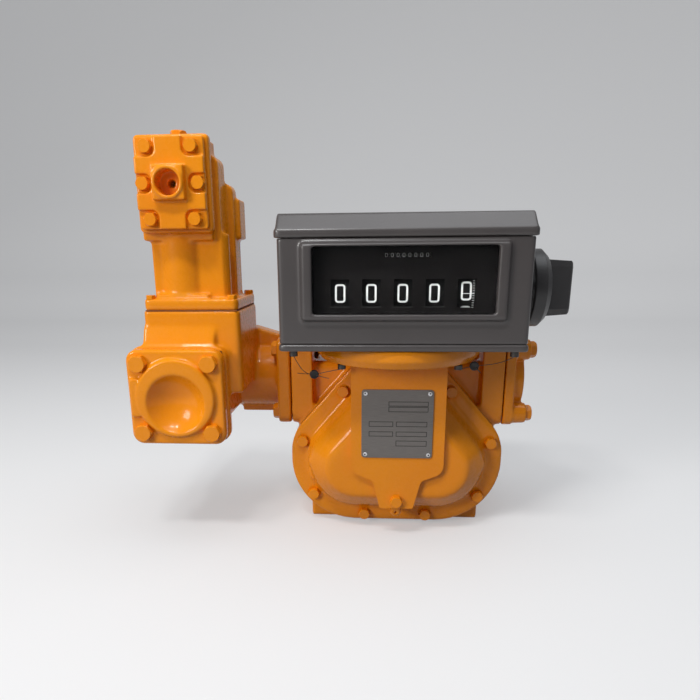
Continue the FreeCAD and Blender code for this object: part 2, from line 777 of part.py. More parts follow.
def rotors():
    count = int(float(v.lobe_count))
    half = v.chamber_half_length - v.rotor_end_gap
    shaft_front = FRONT_FACE - v.cover_gap - v.gear_width - 2
    shaft_back = BACK_FACE + 6
    hub = v.rotor_pitch - v.rotor_running_gap
    left_line, right_line = rotor_phases()
    lines = {-1: left_line, 1: right_line}
    step = 360.0 / count
    for side, label in ((-1, "left_displacement_rotor"), (1, "right_displacement_rotor")):
        x, z = side * v.displacer_x, v.displacer_z
        shape = round_bar(x, z, hub, -half, half)
        first = lines[side] if side < 0 else lines[side] - blocker_offset(step)
        for k in range(count):
            angle = math.radians(first + k * step)
            lobe = round_bar(float(x) + float(v.rotor_pitch) * math.cos(angle),
                             float(z) + float(v.rotor_pitch) * math.sin(angle), v.lobe_radius, -half, half)
            shape = shape.fuse(lobe)
        shape = shape.fuse(round_bar(x, z, v.rotor_shaft, shaft_front, shaft_back))
        feature(label, shape.removeSplitter())
    shape = round_bar(0, BLOCKER_Z, hub, -half, half)
    pocket = v.lobe_radius + v.rotor_running_gap
    for k in range(count):
        angle = math.radians(lines[-1] + 180 + k * step)
        hole = round_bar(float(v.rotor_pitch) * math.cos(angle),
                         float(BLOCKER_Z) + float(v.rotor_pitch) * math.sin(angle), pocket, -half, half)
        shape = shape.cut(hole)
    shape = shape.fuse(round_bar(0, BLOCKER_Z, v.rotor_shaft, shaft_front, shaft_back))
    feature("blocking_rotor", shape.removeSplitter())


def blocker_offset(step):
    """Angle from the right line of centres to the nearest blocking rotor pocket, anticlockwise."""
    left_line, right_line = rotor_phases()
    from_blocker = right_line + 180
    first_pocket = left_line + 180
    offset = (first_pocket - from_blocker) % step
    return offset if offset <= step / 2 else offset - step


def gear_outline(teeth, pitch_radius, backlash, tip, foot):
    """Points of a toothed wheel with involute flanks; a tooth is centred on angle zero."""
    base = pitch_radius * math.cos(math.radians(20))
    inv20 = math.tan(math.radians(20)) - math.radians(20)
    half_tooth = math.pi / (2 * teeth) - backlash / (2 * pitch_radius)
    points = []
    radii = [max(base, pitch_radius - foot), pitch_radius - foot / 3, pitch_radius + tip / 2, pitch_radius + tip]
    flank = []
    for radius in radii:
        press = math.acos(min(1.0, base / radius))
        flank.append((radius, half_tooth + inv20 - (math.tan(press) - press)))
    for k in range(teeth):
        middle = 2 * math.pi * k / teeth
        points.append((pitch_radius - foot, middle - math.pi / teeth))
        points += [(radius, middle - angle) for radius, angle in flank]
        points += [(radius, middle + angle) for radius, angle in reversed(flank)]
    return [(radius * math.cos(angle), radius * math.sin(angle)) for radius, angle in points]


def toothed_disc(points, x, z, low, high):
    corners = [Vector(float(x) + a, float(low), float(z) + b) for a, b in points]
    face = Part.Face(Part.makePolygon(corners + corners[:1]))
    return face.extrude(Vector(0, float(high) - float(low), 0))


# Timing gears in front of the front bearing plate keep the rotors in step without touching.
def timing_gears():
    teeth = int(float(v.gear_teeth))
    pitch = float(v.rotor_pitch)
    module = 2 * pitch / teeth
    points = gear_outline(teeth, pitch, float(v.gear_backlash), module * 0.92, module * 1.2)
    back = FRONT_FACE - v.cover_gap - 0.5
    front = back - v.gear_width
    left_line, right_line = rotor_phases()
    step = 360.0 / teeth
    blocker_turn = left_line + 180 + step / 2
    reach = (right_line + 180 - blocker_turn) % step
    turns = (("left_timing_gear", -v.displacer_x, v.displacer_z, left_line),
             ("right_timing_gear", v.displacer_x, v.displacer_z, right_line + reach + step / 2),
             ("blocking_gear", as_size(0), BLOCKER_Z, blocker_turn))
    for label, x, z, turn in turns:
        disc = turned_about_y(toothed_disc(points, x, z, front, back), x, z, turn)
        for k in range(5):
            angle = math.radians(36 + 72 * k)
            hole = round_bar(float(x) + 27 * math.cos(angle), float(z) + 27 * math.sin(angle), 7, front, back)
            disc = disc.cut(hole)
        disc = disc.fuse(round_bar(x, z, v.rotor_shaft + 6, front - v.seat_gap, back))
        disc = disc.cut(round_bar(x, z, v.rotor_shaft + v.shaft_running_gap, front - 1, back))
        feature(label, disc)


def bearing_plates():
    plates, bushes = [], []
    for side in (-1, 1):
        ends = sorted((side * v.chamber_half_length, side * v.case_half_depth), key=float)
        discs = [cylinder("Y", (x, z), v.plate_radius - v.seat_gap, ends[0], ends[1]) for x, z in ROTOR_AXES]
        holes = [cylinder("Y", (x, z), v.bearing_outer, ends[0], ends[1]) for x, z in ROTOR_AXES]
        plates.append(cut(fuse(discs), holes))
        for x, z in ROTOR_AXES:
            ring = cylinder("Y", (x, z), v.bearing_outer - v.shaft_running_gap, ends[0], ends[1])
            hole = cylinder("Y", (x, z), v.rotor_shaft + v.shaft_running_gap, ends[0], ends[1])
            bushes.append(cut(ring, [hole]))
    node(group(plates), "bearing_plates")
    node(group(bushes), "rotor_bearings")


# Drive: a shaft from the blocking rotor through the packing gland, then a mitre pair up to the register.
def mitre_gear(axis_up, turn):
    """A mitre gear with its apex at the crossing of the two shafts."""
    teeth = int(float(v.mitre_teeth))
    pitch = float(v.mitre_pitch)
    module = 2 * pitch / teeth
    outer = [(a, b) for a, b in gear_outline(teeth, pitch, float(v.mitre_backlash), module * 0.7, module * 1.1)]
    scale = (pitch - float(v.mitre_face)) / pitch
    wires = []
    for factor, height in ((1.0, pitch), (scale, pitch * scale)):
        corners = [Vector(a * factor, b * factor, height) for a, b in outer]
        wires.append(Part.makePolygon(corners + corners[:1]))
    body = Part.makeLoft(wires, True, True)
    hub = Part.makeCylinder(pitch - module * 1.3, 2, Vector(0, 0, pitch), Vector(0, 0, 1))
    body = body.fuse(hub)
    body.rotate(Vector(), Vector(0, 0, 1), turn)
    if not axis_up:
        body.rotate(Vector(), Vector(1, 0, 0), -90)
    body.translate(Vector(0, float(v.mitre_y), float(BLOCKER_Z)))
    return body


def drive_train():
    step = 360.0 / int(float(v.mitre_teeth))
    apex_y, apex_z = float(v.mitre_y), float(BLOCKER_Z)
    lower = mitre_gear(False, 0)
    small_end = float(v.mitre_pitch) - float(v.mitre_face)
    start = float(FRONT_FACE - v.cover_gap - v.gear_width) - 2
    shaft = round_bar(0, BLOCKER_Z, v.drive_shaft_radius, apex_y + small_end, start)
    feature("drive_shaft", shaft.fuse(lower).removeSplitter())
    upper = mitre_gear(True, step / 2)
    length = float(REGISTER_BASE_TOP) + 5 - apex_z - small_end
    shaft = Part.makeCylinder(float(v.register_shaft_radius), length, Vector(0, apex_y, apex_z + small_end),
                              Vector(0, 0, 1))
    feature("register_drive_shaft", shaft.fuse(upper).removeSplitter())
    inner = FRONT_FACE - v.cover_gap - v.gear_width - 2.6
    outer = v.gear_bay_back - 0.6
    flange = cylinder("Y", (0, BLOCKER_Z), v.gland_radius, outer, inner)
    bore = cylinder("Y", (0, BLOCKER_Z), v.drive_shaft_radius + v.shaft_running_gap, outer, inner)
    node(cut(flange, [bore]), "packing_gland")


# Dust cover: folded sheet in front of the gears, held by one bolt at its tip.
def dust_cover():
    part = Casting("dust_cover")
    half, neck, tip = v.dust_half_width, v.dust_neck_half, v.dust_tip_half
    outline = [(-half, v.dust_top), (-half, v.dust_shoulder, 15), (-neck, v.dust_neck_z, 8),
               (-tip, v.dust_tip_z, 3), (tip, v.dust_tip_z, 3), (neck, v.dust_neck_z, 8),
               (half, v.dust_shoulder, 15), (half, v.dust_top)]
    hole = circle(0, v.dust_bolt_z, v.cover_bolt_shank + v.bolt_hole_gap)
    part.pad("Y", v.dust_front, DUST_BACK, [poly(outline), hole])
    for side in (-1, 1):
        ends = sorted((side * half, side * (half - v.dust_sheet)), key=float)
        part.pad("Y", DUST_BACK, DOME_FACE - 0.3, [rect(ends[0], ends[1], v.dust_shoulder + 18, v.dust_top)])
    part.finish("dust_cover")
    plate = Casting("nameplate")
    middle = -1
    plate.pad("Y", v.dust_front - v.name_thick, v.dust_front,
              [rect(middle - v.name_half_width, middle + v.name_half_width, v.name_low, v.name_high, 3.5)])
    inset = 4.5
    spots = [(middle + side * (v.name_half_width - inset), z)
             for side in (-1, 1) for z in (v.name_low + inset, v.name_high - inset)]
    plate.pocket("Y", v.dust_front - v.name_thick, v.dust_front, [circle(x, z, 1.3) for x, z in spots])
    plate.finish("nameplate")
    face = v.dust_front - v.name_thick
    rivets = [fuse([cylinder("Y", spot, 2.4, face - 1, face), cylinder("Y", spot, 1.2, face - 1, v.dust_front)])
              for spot in spots]
    node(group(rivets), "nameplate_rivets")


# Counter adapter: a round dish on a neck that carries the register.
def counter_adapter():
    y = v.adapter_y
    rim = cylinder("Z", (0, y), v.adapter_radius, v.adapter_rim, v.register_floor)
    bowl = cone("Z", (0, y), v.adapter_low_radius, v.adapter_radius, v.adapter_floor, v.adapter_rim)
    neck = box((-v.case_top_half + 10, v.case_top_half - 10), (FRONT_FACE + 2, -FRONT_FACE - 12),
               (v.case_top, v.adapter_floor))
    tools = [cylinder("Z", (0, v.mitre_y), v.register_shaft_radius + v.shaft_running_gap, v.case_top,
                      v.register_floor)]
    for side in (-1, 1):
        tools.append(cylinder("Z", (side * v.adapter_screw_x, v.adapter_screw_y), 2.5 + v.seat_gap,
                              v.adapter_floor, v.register_floor))
    node(cut(fuse([rim, bowl, neck]), tools), "counter_adapter")


# Register: base, case with raised window bezel, lid, glass and dial.
def register():
    base = Casting("register_base")
    half, front, back = v.base_half_width, v.register_front - 1, v.register_back + 1
    base.pad("Z", v.register_floor, REGISTER_BASE_TOP, [rect(-half, half, front, back, 6)])
    base.fillet(2.5, lambda edge: lies_at(edge, "Z", REGISTER_BASE_TOP))
    base.pocket("Z", v.register_floor, REGISTER_BASE_TOP,
                [circle(0, v.mitre_y, v.register_shaft_radius + 1)]
                + [circle(side * v.adapter_screw_x, v.adapter_screw_y, 2.5 + v.seat_gap) for side in (-1, 1)]
                + [circle(x, y, 2.5 + v.seat_gap) for x, y in seal_screws()])
    base.finish("register_base")
    case = Casting("register_case")
    half, wall = v.case_box_half, v.case_wall
    front, back = v.register_front, v.register_back
    case.pad("Z", REGISTER_BASE_TOP, v.case_box_top, [rect(-half, half, front, back, 5)])
    case.pad("Y", front - v.bezel_proud, front,
             [rect(-v.bezel_half, v.bezel_half, v.bezel_low, v.bezel_high, 5)], taper=30, grow_low=True)
    case.pocket("Z", REGISTER_BASE_TOP, v.case_box_top, [rect(wall - half, half - wall, front + wall, back - wall)])
    case.pocket("Y", front - v.bezel_proud - 1, front + wall,
                [rect(-v.window_half, v.window_half, v.window_low, v.window_high)])
    case.pocket("X", half - wall, half, [circle(v.knob_y, v.knob_z, v.collar_radius - 4)])
    case.finish("register_case")
    lid = Casting("register_lid")
    half, low = v.lid_half, v.case_box_top
    front, back = v.register_front - 2, v.register_back + 3
    lip_top = low + v.lid_lip
    lid.pad("Z", low, lip_top, [rect(-half, half, front, back, 7)])
    crown = [(front + 1, lip_top - 2), (back - 1, lip_top - 2), (back - 1, lip_top + 1, 2),
             (back - 1 - v.lid_slope, lip_top + v.lid_rise, 6), (front + 1 + v.lid_slope, lip_top + v.lid_rise, 6),
             (front + 1, lip_top + 1, 2)]
    lid.pad("X", -half + v.lid_end_draft / 2, half - v.lid_end_draft / 2, [poly(crown)])
    lid.pocket("Z", low, lip_top + v.lid_rise - 4,
               [rect(5 - half, half - 5, front + 22, back - 22)])
    lid.finish("register_lid")
    glass_back = front_inner() + v.glass_thick
    node(box((-v.window_half - 4, v.window_half + 4), (front_inner(), glass_back),
             (v.window_low - 4, v.window_high + 3)), "window_glass")
    plate = box((-v.window_half - 4, v.window_half + 4), (v.dial_y, v.dial_y + v.dial_thick),
                (v.window_low - 4, v.window_high + 3))
    rim_low = box((-v.window_half - 4, v.window_half + 4), (glass_back, v.dial_y), (v.window_low - 4, v.window_low))
    rim_high = box((-v.window_half - 4, v.window_half + 4), (glass_back, v.dial_y),
                   (v.window_high, v.window_high + 3))
    tools = [box((x - v.digit_window_half, x + v.digit_window_half), (v.dial_y, v.dial_y + v.dial_thick),
                 (v.wheel_z - v.digit_window_rise, v.wheel_z + v.digit_window_rise)) for x in wheel_places()]
    span = 4 * v.total_pitch
    tools.append(box((v.total_middle - span, v.total_middle + span), (v.dial_y, v.dial_y + v.dial_thick),
                     (v.total_z - 2.6, v.total_z + 2.6)))
    node(cut(fuse([plate, rim_low, rim_high]), tools), "dial_plate")


def front_inner():
    return v.register_front + v.case_wall


def wheel_places():
    return [k * v.wheel_pitch for k in (-2, -1, 0, 1, 2)]


# Number wheels on their shaft, the small totaliser above them, and the frame that carries both.
def number_wheels():
    spot = (v.wheel_y, v.wheel_z)
    for k, x in enumerate(wheel_places()):
        low, high = x - v.wheel_width / 2, x + v.wheel_width / 2
        rim = cylinder("X", spot, v.wheel_radius, low, high)
        recess = cylinder("X", spot, v.wheel_radius - 4, low, high - 6)
        hub = cylinder("X", spot, 9, low, high)
        bore = cylinder("X", spot, v.wheel_shaft_radius + v.shaft_running_gap, low, high)
        node(cut(fuse([cut(rim, [recess]), hub]), [bore]), "number_wheel_%d" % (k + 1))
    spot = (v.total_y, v.total_z)
    for k in range(8):
        x = v.total_middle + (k - 3.5) * v.total_pitch
        rim = cylinder("X", spot, v.total_radius, x - v.total_width / 2, x + v.total_width / 2)
        bore = cylinder("X", spot, v.total_shaft_radius + v.shaft_running_gap, x - v.total_width / 2,
                        x + v.total_width / 2)
        node(cut(rim, [bore]), "totaliser_wheel_%d" % (k + 1))
    side = 3 * v.wheel_pitch
    shafts = [cylinder("X", (v.wheel_y, v.wheel_z), v.wheel_shaft_radius, -side, side),
              cylinder("X", (v.total_y, v.total_z), v.total_shaft_radius, -side, side)]
    node(group(shafts), "wheel_shafts")
    plates = []
    for sign in (-1, 1):
        ends = sorted((sign * side, sign * (side - 3)), key=float)
        plates.append(box(ends, (v.total_y - 8, v.mitre_y + 42), (REGISTER_BASE_TOP, v.total_z + 9)))
    floor = box((-side, side), (v.mitre_y - 12, v.mitre_y + 42), (REGISTER_BASE_TOP, REGISTER_BASE_TOP + 8))
    gearbox = box((side - 14, side), (v.wheel_y - 10, v.mitre_y + 30), (REGISTER_BASE_TOP, v.wheel_z + 16))
    tie = box((-side, side), (v.mitre_y + 38, v.mitre_y + 42), (v.wheel_z, v.wheel_z + 20))
    tools = [cylinder("X", (v.wheel_y, v.wheel_z), v.wheel_shaft_radius + v.seat_gap, -side, side),
             cylinder("X", (v.total_y, v.total_z), v.total_shaft_radius + v.seat_gap, -side, side),
             cylinder("Z", (0, v.mitre_y), v.register_shaft_radius + v.shaft_running_gap, REGISTER_BASE_TOP,
                      REGISTER_BASE_TOP + 6)]
    node(cut(fuse(plates + [floor, gearbox, tie]), tools), "register_frame")


# Reset knob: a chamfered disc with a bar grip, on a stem in a bright collar.
def reset_knob():
    part = Casting("reset_knob")
    y, z = v.knob_y, v.knob_z
    part.pad("X", v.knob_back, v.knob_rim, [circle(y, z, v.knob_radius)])
    part.fillet(6, lambda edge: lies_at(edge, "X", v.knob_rim), kind="Chamfer")
    part.fillet(1.5, lambda edge: lies_at(edge, "X", v.knob_back), kind="Chamfer")
    half = v.grip_half
    grip = [(y - 5, z - half), (y + 5, z - half), (y + v.grip_thick, z - half + 8), (y + v.grip_thick, z + half - 8),
            (y + 5, z + half), (y - 5, z + half), (y - v.grip_thick, z + half - 8), (y - v.grip_thick, z - half + 8)]
    part.pad("X", v.knob_rim, v.knob_face, [poly(grip)], taper=4)
    part.fillet(2, lambda edge: lies_at(edge, "X", v.knob_face), kind="Chamfer")
    part.pad("X", v.case_box_half - 9, v.knob_back, [circle(y, z, v.knob_stem)])
    part.finish("reset_knob")
    low = v.case_box_half
    ring = fuse([cylinder("X", (y, z), v.collar_radius, low, low + v.collar_length),
                 cylinder("X", (y, z), v.collar_radius - 4 - v.seat_gap, low - 6, low)])
    bore = cylinder("X", (y, z), v.knob_stem + v.shaft_running_gap, low - 6, low + v.collar_length)
    node(cut(ring, [bore]), "reset_collar")


# Strainer: square front cover with a dished middle, box body, and the pipe to the meter.
def strainer():
    x, z, front = v.strainer_x, v.port_height, v.strainer_cover_front
    half = v.strainer_cover_half
    cover = Casting("strainer_cover")
    cover.pad("Y", front, STRAINER_FACE, [rect(x - half, x + half, z - half, z + half, v.strainer_round)])
    cover.fillet(2, lambda edge: lies_at(edge, "Y", front), kind="Chamfer")
    cover.pad("Y", front - v.strainer_boss_proud, front, [circle(x, z, v.strainer_boss_radius)], taper=25,
              grow_low=True)
    cover.pad("Y", STRAINER_FACE, STRAINER_FACE + 9, [circle(x, z, v.strainer_bore - 1)])
    cover.pad("Y", front - 4, front, [rect(x - half + 3, x - half + 14, z - 22, z + 23, 3)])
    cover.pocket("Y", front - 1, STRAINER_FACE, [circle(bx, bz, v.m10_shank + v.bolt_hole_gap)
                                                 for bx, bz in strainer_bolts()])
    mouth = front - v.strainer_boss_proud
    depth, wide = float(v.dish_depth), float(v.dish_radius)
    ball = (wide * wide + depth * depth) / (2 * depth)
    centre = Vector(float(x), float(mouth) - ball + depth, float(z - v.dish_drop))
    plate = doc.addObject("Part::Cut", "Dished")
    plate.Base = cover.body
    sphere = doc.addObject("Part::Sphere", "Ball")
    sphere.Radius = ball
    sphere.Placement = Placement(centre, Rotation())
    plate.Tool = sphere
    cover.body.Label = "strainer_cover_plate"
    node(plate, "strainer_cover")

    body = Casting("strainer_body")
    face = STRAINER_FACE + v.gasket_thick
    big = half + 1.5
    body.pad("Y", face, face + 12, [rect(x - big, x + big, z - big, z + big, v.strainer_round + 1)])
    reach = v.strainer_bore + v.strainer_wall
    corner = 16
    block = [(x - reach, z - reach), (x + reach - corner, z - reach), (x + reach, z - reach + corner),
             (x + reach, z + reach), (x - reach, z + reach)]
    body.pad("Y", face + 12, v.tower_back, [poly(block)])
    slope = [(face + 1, z + big - 3), (v.tower_front + 4, z + big - 3), (v.tower_front + 4, z + big + 22),
             (v.tower_front + 1, z + big + 22)]
    body.pad("X", x - reach + 8, x + reach - 6, [poly(slope)])
    body.pad("Z", z, v.strainer_top,
             [rect(v.tower_left - 2, v.tower_right + 1, v.tower_front + 1, v.tower_back, 6)])
    body.pad("Y", v.tower_back - 20, v.strainer_back, [circle(x, z, reach)])
    left = x - reach - 6
    body.pad("X", left, x, [circle(0, z, v.pipe_radius)])
    square = rect(-v.flange_half, v.flange_half, z - v.flange_half, z + v.flange_half, v.flange_round)
    body.pad("X", left, left + 14, [square])
    right = -v.case_half_width - v.gasket_thick
    body.pad("X", x, right, [circle(0, z, v.pipe_radius)])
    body.pad("X", right - v.strainer_flange_thick, right, [square])
    gusset = [(v.tower_right - 6, z + 30), (right - 8, z + 30), (right - 8, z + 52), (v.tower_right - 6, z + 66)]
    body.pad("Y", -14, 14, [poly(gusset)])
    web = [(v.tower_right - 24, z - 50), (right - 8, z - 50), (right - 8, z - 30), (v.tower_right - 24, z - 30)]
    body.pad("Y", -9, 9, [poly(web)])
    body.pocket("Y", face, v.strainer_back - v.strainer_wall, [circle(x, z, v.strainer_bore)])
    body.pocket("X", left, right, [circle(0, z, v.port_bore)])
    body.pocket("X", left, left + v.inlet_bore_depth, [circle(0, z, v.inlet_bore)])
    mx, my = tower_middle()
    body.pocket("Z", z, v.strainer_top, [circle(mx, my, v.float_radius + 5)])
    hole = v.m10_shank + v.seat_gap
    body.pocket("Y", face, face + 13, [circle(bx, bz, hole) for bx, bz in strainer_bolts()])
    body.pocket("Z", v.strainer_top - 16, v.strainer_top,
                [circle(bx, by, v.m6_shank + v.seat_gap) for bx, by in tower_bolts()])
    body.pocket("X", right - v.strainer_flange_thick, right,
                [circle(by, bz, v.m10_shank + v.bolt_hole_gap) for by, bz in PORT_CORNERS])
    body.pocket("X", left, left + 13, [circle(by, bz, v.inlet_bolt_bore) for by, bz in PORT_CORNERS])
    body.finish("strainer_body")

    low, high = STRAINER_FACE + 10, v.strainer_back - v.strainer_wall - 3
    outer = cylinder("Y", (x, z), v.basket_radius, low, high)
    inner = cylinder("Y", (x, z), v.basket_radius - v.basket_wall, low, high - v.basket_wall)
    lip = cylinder("Y", (x, z), v.strainer_bore - 0.4, low, low + 3)
    tools = [inner]
    for k in range(4):
        along = low + 20 + k * 34
        tools.append(cylinder("Z", (x, along), 10, z - v.basket_radius - 5, z + v.basket_radius + 5))
    node(cut(fuse([outer, lip]), tools), "strainer_basket")


# Outlet companion flange with four bolt bosses and a threaded hub.
def outlet_flange():
    part = Casting("outlet_flange")
    low = v.case_half_width + v.gasket_thick
    z, half = v.port_height, v.flange_half
    part.pad("X", low, low + 12, [rect(-half, half, z - half, z + half, v.flange_round)])
    part.pad("X", low + 12, low + 25, [circle(0, z, v.outlet_bore + 9)], taper=6)
    for by, bz in PORT_CORNERS:
        part.pad("X", low + 12, low + 29.5, [circle(by, bz, 13.5)], taper=3)
    part.pocket("X", low, low + 30, [circle(0, z, v.outlet_bore)])
    part.pocket("X", low, low + 30, [circle(by, bz, v.m10_shank + v.bolt_hole_gap) for by, bz in PORT_CORNERS])
    part.finish("outlet_flange")


# Air eliminator: stepped column with the vent cover on its front.
def air_eliminator():
    part = Casting("air_eliminator_body")
    seat, flange_top = TOWER_SEAT, TOWER_FLANGE_TOP
    left, right = v.column_left, v.column_right
    front, back = v.column_front, v.column_back
    part.pad("Z", seat, flange_top, [rect(v.tower_left, v.tower_right, v.tower_front, v.tower_back, 7)])
    vent_top = v.vent_z + v.vent_half_height + v.vent_seat_margin
    first, second = front + v.column_step, front + v.column_step + 20
    low = flange_top - 11
    lobe_right = right - v.lobe_step
    part.pad("Y", front, first, [rect(left, lobe_right, low, vent_top - 18, 10)])
    part.pad("Y", first, second, [rect(left, right, low, vent_top - 44, 10)])
    part.pad("Y", second, back, [rect(left + 3, right - 2, low, vent_top - 62, 10)])
    half_w = v.vent_half_width + v.vent_seat_margin
    half_h = v.vent_half_height + v.vent_seat_margin
    part.pad("Y", VENT_SEAT, v.vent_seat_back, [rect(v.vent_x - half_w, v.vent_x + half_w, v.vent_z - half_h,
                                                     v.vent_z + half_h, 5)])
    part.pad("Y", v.vent_seat_back, front + 22, [rect(v.vent_x - half_w - 2, v.vent_x + half_w - 4,
                                                      v.vent_z - half_h - 8, vent_top - 4)])
    part.pad("Z", flange_top, v.vent_z - half_h + 2, [circle(v.vent_x - 4, front + 22, 30)])
    part.pad("Z", flange_top, v.vent_z - half_h, [circle(right - 12, front + 10, 10)])
    part.pad("X", right - 4, right + 5, [rect(back - 28, back + 1, vent_top - 105, vent_top - 60, 2)])
    part.pad("Z", flange_top, flange_top + 5, [rect(v.vent_x - 32, v.vent_x + 28, v.tower_front + 4, front)])
    cav_left, cav_right = left + v.column_wall, lobe_right - v.column_wall
    cav_front, cav_back = front + v.column_wall, back - v.column_wall
    part.pocket("Z", seat, v.lever_pivot_z + 8, [rect(cav_left, cav_right, cav_front, cav_back)])
    part.pocket("X", v.vent_x - 17, v.vent_x + 17,
                [rect(cav_front, cav_front + 18, v.lever_pivot_z, v.vent_z + 14)])
    part.pocket("Y", VENT_SEAT, cav_front, [circle(v.vent_x, v.vent_z, v.orifice_radius)])
    part.pocket("X", left + 3.5, lobe_right - 3.5,
                [circle(v.lever_pivot_y, v.lever_pivot_z, v.lever_pin_radius + v.seat_gap)])
    part.pocket("Z", seat, flange_top, [circle(x, y, v.m6_shank + v.bolt_hole_gap) for x, y in tower_bolts()])
    part.pocket("Y", VENT_SEAT, VENT_SEAT + 13,
                [circle(x, z, v.cover_bolt_shank + v.seat_gap) for x, z in vent_bolts()])
    part.finish("air_eliminator_body")

    cover = Casting("vent_cover")
    x, z = v.vent_x, v.vent_z
    half_w, half_h, face = v.vent_half_width, v.vent_half_height, v.vent_cover_front
    cover.pad("Y", face, VENT_SEAT, [rect(x - half_w, x + half_w, z - half_h, z + half_h, 3)])
    boss = v.vent_boss_half
    cover.pad("Y", v.vent_boss_front, face, [rect(x - boss, x + boss, z - boss, z + boss)], taper=3, grow_low=True)
    cover.pad("Y", v.vent_ring_front, face, [circle(x, z, v.vent_ring_radius)])
    pockets = []
    for a in (-1, 1):
        for b in (-1, 0, 1):
            past = v.vent_pocket_round + 1
            edge_x = x + a * (half_w + past)
            inner_x = x + a * ((v.vent_bolt_x if b else v.vent_bolt_middle_x) - 9.5)
            low = z + b * v.vent_bolt_z - 9.5 if b >= 0 else z - half_h - past
            high = z + b * v.vent_bolt_z + 9.5 if b <= 0 else z + half_h + past
            ends = sorted((edge_x, inner_x), key=float)
            pockets.append(rect(ends[0], ends[1], low, high, v.vent_pocket_round))
    for pocket in pockets:
        cover.pocket("Y", face - 0.5, face + 4, [pocket])
    cover.pocket("Y", v.vent_ring_front, v.vent_ring_front + v.vent_bore_depth, [circle(x, z, v.vent_bore)])
    cover.pocket("Y", v.vent_ring_front, VENT_SEAT, [circle(x, z, v.orifice_radius)])
    cover.pocket("Y", face, VENT_SEAT, [circle(bx, bz, v.cover_bolt_shank + v.bolt_hole_gap) for bx, bz in vent_bolts()])
    cover.finish("vent_cover")

    top = v.vent_z + v.vent_half_height + v.vent_seat_margin - 4
    plug = fuse([cylinder("Z", (x + 3, v.column_front + 4), 8.5, top, top + 3),
                 hex_bolt("Z", (x + 3, v.column_front + 4), top + 3, 1, v.m10_head - 1, 7, v.m10_shank, 3)])
    node(plug, "top_plug")


# Float, its lever and the vent valve inside the column.
def float_gear():
    x = v.vent_x
    py, pz = v.lever_pivot_y, v.lever_pivot_z
    top = v.float_low + v.float_height
    spot, slope = (x, v.float_y), 8
    shell = [cylinder("Z", spot, v.float_radius, v.float_low + slope, top - slope),
             cone("Z", spot, v.float_radius - 12, v.float_radius, v.float_low, v.float_low + slope),
             cone("Z", spot, v.float_radius, v.float_radius - 12, top - slope, top)]
    half = v.lever_thick / 2
    fork = half + v.fork_gap
    stem = [box((x - fork - 2, x + fork + 2), (v.float_y - 4, v.float_y + 4), (top, pz - 9))]
    for side in (-1, 1):
        ends = sorted((x + side * fork, x + side * (fork + 2)), key=float)
        stem.append(box(ends, (v.float_y - 4, v.float_y + 4), (pz - 9, pz + 4)))
    node(fuse(shell + stem), "float")
    arm = box((x - half, x + half), (py - 3, v.float_y + 3), (pz - 3, pz + 3))
    tall = box((x - half, x + half), (py - 3, py + 3), (pz - 3, v.vent_z + 4))
    hub = cylinder("X", (py, pz), 6, x - half, x + half)
    hole = cylinder("X", (py, pz), v.lever_pin_radius + v.shaft_running_gap, x - half, x + half)
    node(cut(fuse([arm, tall, hub]), [hole]), "float_lever")
    pin_end = v.column_right - v.lobe_step - 4
    node(cylinder("X", (py, pz), v.lever_pin_radius, v.column_left + 4, pin_end), "lever_pin")
    seat = v.column_front + v.column_wall
    valve = fuse([cylinder("Y", (x, v.vent_z), 8, seat + 0.3, seat + 4),
                  cylinder("Y", (x, v.vent_z), v.orifice_radius - 1, seat - 12, seat + 0.3),
                  cylinder("Y", (x, v.vent_z), 2, seat + 4, py - 3.8)])
    node(valve, "vent_valve")


# Lead seals and the fine wires that run through them.
def wire_routes():
    floor = v.register_floor - 7
    left = [(-116, -143, 233.2), (-113, -134, 223), (-107.5, -121, 211), (-101, -110, 206), (-94, -108, 206.5),
            (-80, -112, 210.5), (-66, -118, 214.2)]
    right = [(119, -143, 233.2), (113, -134, 227), (101, -122, 221), (88, -112, 218), (80, -111, 216.5),
             (66, -117, 214.2)]
    return left, right


def smooth_tube(points, radius):
    """A round wire along straight runs joined by tangent arcs."""
    spots = [Vector(*point) for point in points]
    edges, bends = [], []
    start = spots[0]
    for i in range(1, len(spots) - 1):
        before, after = spots[i - 1] - spots[i], spots[i + 1] - spots[i]
        shorter = min(before.Length, after.Length)
        turn = math.pi - before.getAngle(after)
        cut_back = 0.45 * shorter
        bend = cut_back / math.tan(turn / 2)
        bends.append(round(bend, 1))
        first = spots[i] + Vector(before).normalize() * cut_back
        last = spots[i] + Vector(after).normalize() * cut_back
        inward = (Vector(before).normalize() + Vector(after).normalize()).normalize()
        middle = spots[i] + inward * (bend / math.cos(turn / 2) - bend)
        edges += [Part.LineSegment(start, first).toShape(), Part.Arc(first, middle, last).toShape()]
        start = last
    edges.append(Part.LineSegment(start, spots[-1]).toShape())
    way = (spots[1] - spots[0]).normalize()
    disc = Part.Face(Part.Wire(Part.makeCircle(float(radius), spots[0], way)))
    return Part.Wire(edges).makePipe(disc), bends


def seals():
    left, right = wire_routes()
    for label, points in (("left_seal_wire", left), ("right_seal_wire", right)):
        tube, bends = smooth_tube(points, v.wire_radius)
        feature(label, tube)
        print(label, "bend radii", bends)
    discs = []
    for points, k in ((left, 3), (right, 3)):
        here, after = Vector(*points[k]), Vector(*points[k + 1])
        centre = (here + after) * 0.5
        disc = Part.makeCylinder(float(v.seal_radius), float(v.seal_thick), Vector(0, 0, 0), Vector(0, 1, 0))
        disc.translate(Vector(centre.x, centre.y - float(v.seal_thick) / 2, centre.z))
        discs.append(disc.cut(smooth_tube(points, v.wire_radius + 0.3)[0]))
    feature("lead_seals", Part.makeCompound(discs))


